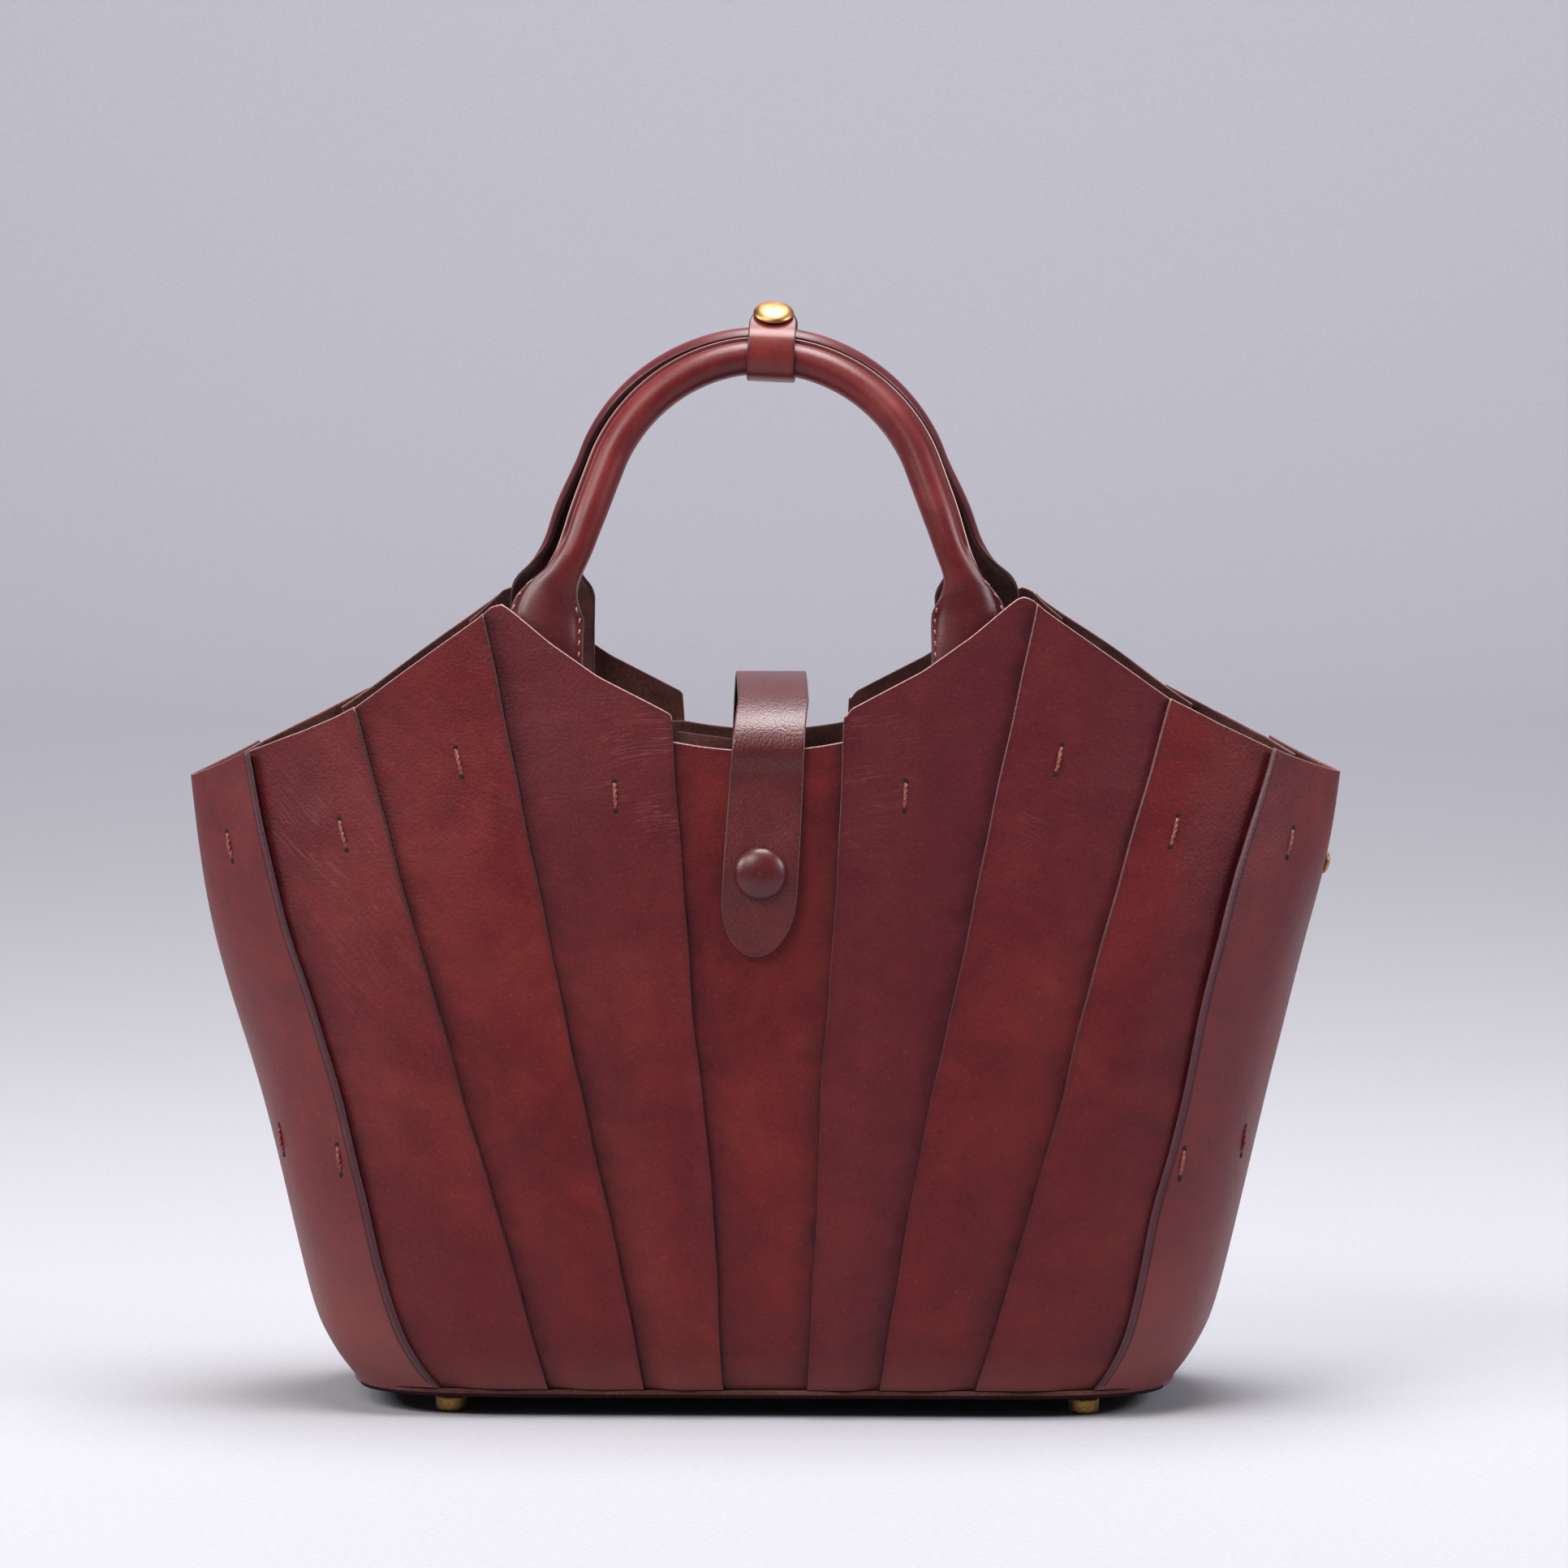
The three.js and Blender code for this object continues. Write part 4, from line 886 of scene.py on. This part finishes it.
# Rows along the handle, columns round its section
def rolledHandle():
    full, places, across, through = handleRun(frontHandle, -1)
    fine = frontHandle["fineTurn"]
    angle = np.r_[np.linspace(-fine, fine, frontHandle["fineCount"]),
                  np.linspace(fine, 2 * np.pi - fine, frontHandle["coarseCount"])[1:-1]]
    c, s = np.cos(angle), np.sin(angle)
    fromRidge = np.abs((angle - frontHandle["ridgeTurn"] + np.pi) % (2 * np.pi) - np.pi)
    ridgeHalf = frontHandle["ridgeHalf"]
    ridge = 1 - easeStep(fromRidge / ridgeHalf, *frontHandle["ridgeFlank"])
    fromGroove = fromRidge - ridgeHalf * frontHandle["groovePlace"]
    groove = np.exp(-((fromGroove / frontHandle["grooveHalf"]) ** 2))
    flatness, dome, halfWidth = (full[key][:, None] for key in ("flat", "dome", "halfWidth"))
    flat = easeStep(flatness, 0, 1)
    domeHalf = readSmooth(frontHandle, "height", "domeHalf", full["height"])[:, None]
    radius = np.minimum(dome, domeHalf) + frontHandle["ridge"] * ridge - frontHandle["groove"] * groove
    n = blend(frontHandle["tubePower"], frontHandle["tabPower"], flat)
    plate = full["halfThickness"][:, None] * np.sign(s) * (1 - np.abs(c) ** n + 1e-9) ** (1 / n)
    x = blend(radius * c + frontHandle["ridgeShift"], halfWidth * c, flat)
    y = blend(radius * s, plate, flat)
    above = dome * np.sqrt(np.clip(1 - (x / domeHalf) ** 2, 0, 1)) - y
    rise = 0.5 * (above + np.sqrt(above**2 + frontHandle["valley"] ** 2))
    y = y + rise * easeStep(s, 0, 0.3) * easeStep(flatness, 0, 0.2)
    points = besideRun(places, across, through, x, y)
    index = np.arange(x.size).reshape(x.shape)
    # Distance from the cut ridge on the tube; on the tab it starts past the cut's colour
    onTube = np.where(fromRidge < 0.9, fromRidge * frontHandle["edgeScale"] + 0.05, 6.0)
    onTab = halfWidth * (1 - np.abs(c)) + 0.55
    edge = blend(onTube, onTab, easeStep(flatness, 0.1, 0.6))
    # Tone from the red tube to the darker mauve tab, whose darkness is painted shade
    tone = np.broadcast_to(blend(frontHandle["tubeTone"], frontHandle["tabShadeTone"], flat), edge.shape)
    uv = gather(angle * frontHandle["halfWidth"] + frontHandle["hidePlace"], full["along"][:, None])
    faces = gridFaces(index.T, closed=True)
    makePiece("rolled_handle_front", points.reshape(-1, 3), faces, [handleLeather], ["handle_front"],
              [index[0], index[-1, ::-1]],
              values={"edge": edge.ravel(), "tone": tone.ravel()}, uv=uv.reshape(-1, 2))
    return points, angle


frontGrid, frontAngles = rolledHandle()

# Back handle: a strip curled about its middle line, open towards the front; the curl's half-angle falls
# from the arch to the cupped tab, and its radius is width / (2 * half-angle)
backHandle = {"halfWidth": 8.2, "halfThickness": 5.0, "tabHalfWidth": 16.0, "archSpread": 3.6,
              "legSpread": 5.4, "tabSpread": 2.4, "legShift": -1.4, "tabShift": -0.8, "width": 26.0,
              "tabWidth": 31.0, "curl": 2.2, "tabCurl": 0.3, "thickness": 2.0, "rest": 4.8, "tabRest": 0.5,
              "columns": 26, "tone": 0.55, "hidePlace": 7000}


# Across the strip: x = bend * sin(curl * part), y = bend * (cos(curl * part) - 1) + rest
def curledHandle():
    full, places, across, through = handleRun(backHandle, 1)
    parts = edgeSpaced(backHandle["width"], backHandle["columns"]) * 2 - 1
    easing = easeStep(np.maximum(full["wider"], full["flat"]), 0, 1)[:, None]
    curl = blend(backHandle["curl"], backHandle["tabCurl"], easing)
    width = blend(backHandle["width"], backHandle["tabWidth"], easing)
    bend = width / (2 * curl)
    theta = curl * parts
    depth = bend * (np.cos(theta) - 1) + blend(backHandle["rest"], backHandle["tabRest"], easing)
    middle = besideRun(places, across, through, bend * np.sin(theta), depth)
    normal = besideRun(0 * places, across, through, np.sin(theta), np.cos(theta))
    along = full["along"]
    edge = np.minimum((1 - np.abs(parts)) * width / 2, (along[-1] - np.abs(along))[:, None])
    half = normal * halfThickness(edge, backHandle["thickness"])[..., None]
    uv = gather(parts * width / 2 + backHandle["hidePlace"], along[:, None])
    makeSheet("curled_handle_back", middle + half, middle - half, edge, uv, [curledLeather, shadedSuede],
              "handle_back", backHandle["tone"])


curledHandle()
print("handles made")


# Keeper: a strap's middle line seen from the side, closed round both handles, turned with the arch's top
keeper = {"width": 16.8, "thickness": 1.7, "shift": 2.7, "stations": 110, "columns": 10,
          "depth": [-7.2, -13.0, -14.8, -12.9, -7.5, 3.5, 7.8, 11.4, 13.6, 14.6, 13.5, 9.6, 1.5],
          "height": [363.9, 366.3, 372.0, 378.6, 382.4, 388.4, 388.0, 384.0, 377.3, 370.0, 366.3, 363.8,
                     363.7],
          "waist": 0.3, "waistHeights": (383.5, 389.0), "tone": 0.25, "hidePlace": 8000}
keeperTurn = math.asin(keeper["shift"] / arch["radius"])


# Turns points about the arch's centre so that the keeper stands square on the arch
def withKeeper(points):
    x, up = points[..., 0], points[..., 2] - arch["centerHeight"]
    c, s = math.cos(keeperTurn), math.sin(keeperTurn)
    return gather(x * c + up * s, points[..., 1], arch["centerHeight"] - x * s + up * c)


# Closed smooth line through rows of (depth, height): a few rows repeated past each end, read by distance
def closedLine(depth, height, count, repeat=3):
    order = np.r_[-repeat:len(depth) + repeat + 1] % len(depth)
    table = {"depth": np.array(depth)[order], "height": np.array(height)[order]}
    table["along"] = distanceAlong(table["depth"], table["height"])
    places = np.linspace(table["along"][repeat], table["along"][repeat + len(depth)], count, endpoint=False)
    return readSmooth(table, "along", "depth", places), readSmooth(table, "along", "height", places), places


# A strip of the keeper's width carried along its closed line
def keeperLoop():
    depth, height, along = closedLine(keeper["depth"], keeper["height"], keeper["stations"])
    tangent = unit(gather(np.roll(depth, -1) - np.roll(depth, 1), np.roll(height, -1) - np.roll(height, 1)))
    normal = gather(0, -tangent[:, 1], tangent[:, 0])
    away = normal[:, 1] * (depth - depth.mean()) + normal[:, 2] * (height - height.mean())
    normal = normal * np.sign(np.sign(away).sum())
    parts = edgeSpaced(keeper["width"], keeper["columns"])
    width = keeper["width"] * (1 - keeper["waist"] * easeStep(height, *keeper["waistHeights"]))[:, None]
    x = (parts - 0.5) * width
    edge = np.minimum(parts, 1 - parts) * width
    half = normal[:, None] * halfThickness(edge, keeper["thickness"])[..., None]
    middle = gather(x, depth[:, None], height[:, None])
    uv = gather(x + keeper["hidePlace"], along[:, None])
    makeSheet("keeper_strap", withKeeper(middle + half), withKeeper(middle - half), edge, uv,
              [keeperLeather, suede], "handle_keeper", keeper["tone"], closed=True)


keeperLoop()

# Cap: a domed brass head on the keeper's slope, between two of its rows
cap = {"profile": [(6.5, 0), (7.15, 0.45), (7.1, 0.9), (6.45, 1.6), (5.0, 2.3), (2.6, 2.75), (0, 2.9)],
       "seat": 0.7, "slopeRows": (4, 5)}
slopeFrom, slopeTo = (np.array([0, keeper["depth"][i], keeper["height"][i]]) for i in cap["slopeRows"])
slopeUp = unit(np.array([0, slopeFrom[2] - slopeTo[2], slopeTo[1] - slopeFrom[1]]))
capPlace = (slopeFrom + slopeTo) / 2 + slopeUp * (keeper["thickness"] / 2 + cap["seat"])
capFoot = withKeeper(capPlace)
capUp = withKeeper(capPlace + slopeUp) - capFoot
makeTurned("cap_on_keeper", cap["profile"], capFoot, capUp, capBrass, "keeper_cap")
print("keeper made")


# Closure strap: its middle line, seen from the side, goes up the front, over and down inside the back
strap = {"width": 26.6, "topWidth": 25.0, "narrowing": (30, 95), "thickness": 2.2, "tip": 163.0,
         "tipLength": 21.0, "tipRows": 26, "snapX": 0.3, "snapHeight": 192.3, "lean": 0.0586,
         "leanEnd": 96.0, "leanBack": 0.05, "gap": 0.3, "frontHeights": [163, 178, 192.3, 210, 226],
         "frontOut": [0.2, 0.7, 1.3, 0.2, 0.0],
         "archDepths": [-52.8, -49.2, -42.5, -33.0, -20.0, -6.0, 10.0, 26.0, 37.5, 44.4],
         "archHeights": [236.0, 242.5, 248.2, 253.2, 257.2, 258.7, 256.8, 250.8, 243.0, 235.0],
         "backHeights": [222, 209, 196], "backSeat": 0.7, "columns": 18, "rows": 130, "tone": 0.15,
         "hidePlace": 9000}


# Half-width along the strap: width/2 * sqrt(1 - u^2) in its round tip, straight beyond, then narrowing
def closureStrap():
    front, back = np.array(strap["frontHeights"], float), np.array(strap["backHeights"], float)
    standing = np.array(strap["frontOut"]) + panel["thickness"] + strap["gap"] + strap["thickness"] / 2
    onFront = -(wallAt("halfDepth", front) + standing)
    onBack = wallAt("halfDepth", back) - strap["backSeat"] - strap["thickness"] / 2
    table = {"depth": np.r_[onFront, strap["archDepths"], onBack],
             "height": np.r_[front, strap["archHeights"], back]}
    table["along"] = distanceAlong(table["depth"], table["height"])
    length = table["along"][-1]
    tip = strap["tipLength"] * (1 - np.cos(np.linspace(0, np.pi / 2, strap["tipRows"])))
    near = np.array(cutEdge["steps"])
    straight = np.linspace(strap["tipLength"], length - near[-1], strap["rows"])[1:]
    along = np.concatenate([tip, straight, length - near[-2::-1]])
    depth, height = readSmooth(table, "along", "depth", along), readSmooth(table, "along", "height", along)
    tangent = unit(gather(np.gradient(depth, along), np.gradient(height, along)))
    normal = gather(0, -tangent[:, 1], tangent[:, 0])[:, None, :]
    inTip = np.maximum(1 - along / strap["tipLength"], 0)
    width = blend(strap["width"], strap["topWidth"], easeStep(along, *strap["narrowing"]))
    halfWidth = np.maximum(width / 2 * np.sqrt(1 - inTip**2), 0.02)[:, None]
    parts = edgeSpaced(strap["width"], strap["columns"]) * 2 - 1
    leaning = np.minimum(along, strap["leanEnd"]) - (strap["snapHeight"] - strap["tip"])
    beyond = np.maximum(along - strap["leanEnd"], 0)
    x = strap["snapX"] + strap["lean"] * leaning - strap["leanBack"] * beyond
    sides = x[:, None] + parts * halfWidth
    edge = np.minimum((1 - np.abs(parts)) * halfWidth, np.minimum(along, length - along)[:, None])
    half = normal * halfThickness(edge, strap["thickness"])[..., None]
    middle = gather(sides, depth[:, None], height[:, None])
    uv = gather(sides + strap["hidePlace"], along[:, None])
    makeSheet("strap_over_opening", middle + half, middle - half, edge, uv, [strapLeather, suede],
              "closure_strap", strap["tone"])


closureStrap()

# Snap cover: a leather-covered dome on the strap, square to the wall where it sits
snap = {"profile": [(8.5, 0), (9.1, 0.5), (9.05, 1.2), (8.4, 2.2), (6.9, 3.25), (4.8, 4.1), (2.4, 4.6),
                    (0, 4.75)],
        "span": 4.0, "stand": 1.7}
snapWall = [wallAt("halfDepth", strap["snapHeight"] + step) for step in (-snap["span"], 0, snap["span"])]
snapDepth = snapWall[1] + panel["thickness"] + strap["thickness"] + snap["stand"]
snapUp = (snapWall[0] - snapWall[2]) / (2 * snap["span"])
snapPlace = (strap["snapX"], -snapDepth, strap["snapHeight"])
makeTurned("covered_snap", snap["profile"], snapPlace, (0, -1, snapUp), snapLeather, "snap_cap",
           segments=64, smooth=5)

# Facing: a patch inside the front's middle strip, its rim cut on a slant
facing = {"halfWidth": 29.0, "bottom": 165.0, "rimMiddle": 237.7, "rimSlope": -0.13, "thickness": 1.2,
          "seat": 0.6, "columns": 20, "rows": 24, "length": 72, "hidePlace": 9500}


# A patch of even width on the inside of the wall
def snapFacing():
    x = (edgeSpaced(2 * facing["halfWidth"], facing["columns"]) * 2 - 1) * facing["halfWidth"]
    tops = facing["rimMiddle"] + facing["rimSlope"] * x
    height, above, below = sheetRows(facing["bottom"], tops, facing["length"], facing["rows"])
    edge = np.minimum.reduce([facing["halfWidth"] - np.abs(x) + 0 * height, above, below])
    middle = -facing["seat"] - facing["thickness"] / 2 + unevenness(x, height)
    outer, inner = wallFaces(turnAt(x, height), height, middle, halfThickness(edge, facing["thickness"]),
                             gather(np.where(x < 0, -1, 1), 1, 1))
    uv = gather(x + facing["hidePlace"], height)
    makeSheet("facing_patch", outer, inner, edge, uv, [shadedSuede, suede], "snap_facing")


snapFacing()

# Side studs: low brass domes behind the fold of the side strips, the left one set further back
stud = {"height": 192.0, "left": 10.0, "right": 4.5, "seat": 0.15,
        "profile": [(4.1, 0), (4.3, 0.5), (3.9, 1.2), (2.6, 1.8), (0, 2.05)]}


# Point of a grid nearest to a depth and height, and the direction square to it, away from the middle
def seatOn(grid, depth, height):
    away = np.hypot(grid[..., 1] - depth, grid[..., 2] - height)
    row, column = np.unravel_index(away.argmin(), away.shape)
    place = grid[row, column]
    up = grid[row + 1, column] - grid[row - 1, column]
    aside = grid[row, column + 1] - grid[row, column - 1]
    normal = np.cross(up, aside)
    normal = unit(normal * np.sign(normal[0] * place[0]))
    return place + normal * stud["seat"], normal


for side, grid in sideFaces.items():
    place, direction = seatOn(grid, stud[side], stud["height"])
    makeTurned(f"stud_{side}", stud["profile"], place, direction, capBrass, f"side_stud_{side}",
               segments=32)
print("strap, snap, facing and studs made")


# Saddle stitches: one long stitch of twisted thread on each strip, its ends going down into punched holes.
# Places are distances out and heights of the two holes, with how far a side's stitch strays out and up
stitches = {"panel": [1, 2, 3, 4, 4, 4], "outTop": [51.0, 106.5, 147.5, 187.2, 169.6, 149.0],
            "heightTop": [224.8, 236.7, 211.4, 207.3, 104.5, 97.0],
            "outBottom": [50.5, 104.2, 144.7, 184.8, 168.0, 147.4],
            "heightBottom": [214.3, 226.3, 200.4, 197.0, 94.3, 86.6],
            "left": [(0, -0.6), (0, -1.3), (0, -1.8), (0.7, -4.2), (-1.7, -5.4), (-2.0, -1.8)],
            "right": [(0, -0.3), (-1.4, 0), (-2.3, 0), (-2.0, -1.8), (-2.0, -4.4), (-2.1, -2.0)],
            "radius": 0.62, "stand": 0.4, "sink": 1.1, "from": 0.05, "to": 0.9, "stations": 28, "sides": 16,
            "twist": 1.5, "plies": 0.24, "bowPower": 0.35}
# Holes: dark plugs whose tops stand just above the strip's face, painted shade of the punched holes
hole = {"radius": 1.05, "levels": [-0.8, -0.3, 0.02, 0.06, 0.08], "shrink": [1, 1, 1, 0.85, 0.3],
        "twist": 0, "plies": 0.1, "sides": 16}


# Outer face of a strip at a place given by its distance out and height
def stripFace(number, out, height, stand, toRight, toBack):
    turn = turnAt(out, height)
    if number < sideStrip["seam"]:
        offset = panelOffset(number, out, height, toRight, toBack) + panel["thickness"]
    else:
        seamTurn = sideTurn(0, height, toRight)
        toSide = (turn - seamTurn) / (np.pi / 2 - seamTurn)
        offset = sideOffset(toSide, height, toRight) + sideStrip["thickness"]
    return wallPoint(turn, height, offset + stand) * np.array([toRight, -toBack, 1])


# Twisted tube along a run of points: radius = r * (1 + plies * cos(2 (angle - twist * along)))
def twistedTube(run, radius, look):
    forward = unit(np.gradient(run, axis=0))
    guide = unit(np.cross(forward, np.array([0.9, 0.1, 0.05])))  # any direction that no stitch runs along
    angle = np.linspace(0, 2 * np.pi, look["sides"], endpoint=False)
    twisted = angle - look["twist"] * distanceAlong(*run.T)[:, None]
    wide = radius[:, None] * (1 + look["plies"] * np.cos(2 * twisted))
    return besideRun(run, guide, np.cross(forward, guide), wide * np.cos(angle), wide * np.sin(angle))


# Joins tubes of the same size into one mesh
def joinTubes(name, tubes, material):
    points = np.stack(tubes)
    count, rows, columns = points.shape[:3]
    index = np.arange(rows * columns).reshape(rows, columns)
    first = (np.arange(count) * rows * columns)[:, None, None]
    faces = (gridFaces(index.T, closed=True) + first).reshape(-1, 4)
    caps = (np.stack([index[0], index[-1, ::-1]]) + first).reshape(-1, columns)
    makePiece(name, points.reshape(-1, 3), faces, [material], [], caps)


part = np.linspace(stitches["from"], stitches["to"], stitches["stations"])
bow = np.sin(np.pi * np.linspace(0, 1, stitches["stations"])) ** stitches["bowPower"]
stand = blend(-stitches["sink"], stitches["stand"], bow)
threadRadius = np.full(stitches["stations"], stitches["radius"])
holeLevels = np.array(hole["levels"])
holeRadius = hole["radius"] * np.array(hole["shrink"])
threads, holes = [], []
for place, number in enumerate(stitches["panel"]):
    for side, toRight in sideSigns.items():
        strayOut, strayUp = stitches[side][place]
        outs = [stitches[key][place] + strayOut for key in ("outTop", "outBottom")]
        heights = [stitches[key][place] + strayUp for key in ("heightTop", "heightBottom")]
        for toBack in faceSigns.values():
            run = stripFace(number, blend(*outs, part), blend(*heights, part), stand, toRight, toBack)
            threads.append(twistedTube(run, threadRadius, stitches))
            for out, height in zip(outs, heights):
                line = stripFace(number, out, height, holeLevels, toRight, toBack)
                holes.append(twistedTube(line, holeRadius, hole))

# Tab seams: short stitches along a line of the front handle's grid beside each edge of its tabs
tabStitches = {"inner": [283.4, 279.5, 275.6, 271.7, 267.8, 263.9], "outer": [293.0, 288.6, 284.2],
               "innerPart": -0.9, "outerPart": 0.93, "length": 1.8, "radius": 0.33, "slant": 0.35,
               "stand": 0.12, "sink": 0.6, "twist": 2.4, "plies": 0.2, "stations": 10, "sides": 8}


# Line of the front handle's grid at a part of its half-width, on its front, read at heights on one leg
def tabLine(part, heights, toRight):
    behind = np.sin(frontAngles) < 0
    column = np.where(behind, np.inf, np.abs(np.cos(frontAngles) - part)).argmin()
    leg = frontGrid[frontGrid[:, 0, 0] * toRight > 0][:, column]
    leg = leg[np.argsort(leg[:, 2])]
    return gather(*(np.interp(heights, leg[:, 2], leg[:, k]) for k in range(3)))


along = np.linspace(-0.5, 0.5, tabStitches["stations"])
inwards = blend(-tabStitches["sink"], tabStitches["stand"], np.sin(np.pi * (along + 0.5)) ** 0.5)
tabRadius = np.full(tabStitches["stations"], tabStitches["radius"])
tabThreads = []
for toRight in sideSigns.values():
    for edge in ("inner", "outer"):
        for height in tabStitches[edge]:
            run = tabLine(tabStitches[edge + "Part"], height - along * tabStitches["length"], toRight)
            run = run + gather(tabStitches["slant"] * along * toRight, -inwards, 0)
            tabThreads.append(twistedTube(run, tabRadius, tabStitches))
joinTubes("tab_stitches", tabThreads, paleThread)
joinTubes("saddle_stitches", threads, thread)
joinTubes("stitch_hole_shade", holes, holeShade)
print("stitches made:", len(threads))


# Stage: a pale paper floor rolling up into a backdrop, in metres; the paper's fibre is in mm
stage = {"stops": [(0.3, "#a2a1a7"), (0.7, "#a8a7ad")], "fibre": 2.5, "halfWidth": 7.0, "front": -2.2,
         "bend": 3.2, "bendRadius": 1.6, "bendSteps": 24, "top": 5.0}


# Floor, a quarter circle and the wall as one strip, carried from side to side
def makeStage():
    turn = np.linspace(0, np.pi / 2, stage["bendSteps"])
    end = stage["bend"] + stage["bendRadius"]
    y = np.r_[stage["front"], stage["bend"] + stage["bendRadius"] * np.sin(turn), end]
    z = np.r_[0, stage["bendRadius"] * (1 - np.cos(turn)), stage["top"]]
    x = np.array([-stage["halfWidth"], stage["halfWidth"]])
    points = gather(x, y[:, None], z[:, None])
    faces = gridFaces(np.arange(points.shape[0] * 2).reshape(-1, 2))
    mesh = bpy.data.meshes.new("backdrop")
    mesh.from_pydata(points.reshape(-1, 3).tolist(), [], faces.tolist())
    mesh.polygons.foreach_set("use_smooth", np.ones(len(faces), bool))
    mesh.materials.append(mattFibre("matt_paper", stage["fibre"], stage["stops"]))
    backdrop = bpy.data.objects.new("backdrop", mesh)
    bpy.context.scene.collection.objects.link(backdrop)


makeStage()


# Turn of a lamp or camera, which looks along its own -Z, towards a direction
def facingTo(direction):
    return direction.to_track_quat("-Z", "Y").to_euler()


# Soft boxes: place, aim and size in metres, power in watts
lights = {"key": {"place": (-1.3, -1.7, 2.2), "aim": (0, 0, 0.15), "size": (1.4, 1.0), "power": 44,
                  "color": "#fffaf4"},
          "left": {"place": (-1.9, -0.5, 1.25), "aim": (-0.3, 0, 0), "size": (0.9, 0.7), "power": 25,
                   "color": "#ffffff"},
          "right": {"place": (1.9, -0.5, 1.25), "aim": (0.3, 0, 0), "size": (0.9, 0.7), "power": 24,
                    "color": "#f8faff"},
          "top": {"place": (0.1, 0.15, 2.1), "aim": (0.1, 0.15, 0), "size": (1.0, 1.4), "power": 72,
                  "color": "#ffffff"},
          "wall": {"place": (0, 2.0, 3.6), "aim": (0, 4.6, 2.9), "size": (4.0, 1.0), "power": 225,
                   "color": "#f4f3fa"}}
for name, light in lights.items():
    lamp = bpy.data.lights.new(name, "AREA")
    lamp.shape = "RECTANGLE"
    lamp.size, lamp.size_y = light["size"]
    lamp.energy = light["power"]
    lamp.color = hexColor(light["color"])[:3]
    holder = bpy.data.objects.new(name, lamp)
    holder.location = light["place"]
    holder.rotation_euler = facingTo(Vector(light["aim"]) - Vector(light["place"]))
    bpy.context.scene.collection.objects.link(holder)

world = bpy.data.worlds.new("studio")
world.use_nodes = True
setInputs(world.node_tree.nodes["Background"], {"Color": hexColor("#dfe0e6"), "Strength": 0.15})
bpy.context.scene.world = world
bpy.context.scene.view_settings.view_transform = "Standard"

# Camera: lens and sensor in mm, places in metres, angles in degrees
camera = {"lens": 179.9, "sensor": 36.0, "distance": 2.8, "azimuth": 1.5, "elevation": 4.8,
          "aim": (0.007, 0, 0.219), "clip": (0.05, 50)}
lens = bpy.data.cameras.new("camera")
lens.lens, lens.sensor_width = camera["lens"], camera["sensor"]
lens.clip_start, lens.clip_end = camera["clip"]
eye = bpy.data.objects.new("camera", lens)
az, el = math.radians(camera["azimuth"]), math.radians(camera["elevation"])
away = Vector((math.sin(az) * math.cos(el), -math.cos(az) * math.cos(el), math.sin(el)))
eye.location = Vector(camera["aim"]) + away * camera["distance"]
eye.rotation_euler = facingTo(-away)
bpy.context.scene.collection.objects.link(eye)
bpy.context.scene.camera = eye
print("stage, lights and camera set")
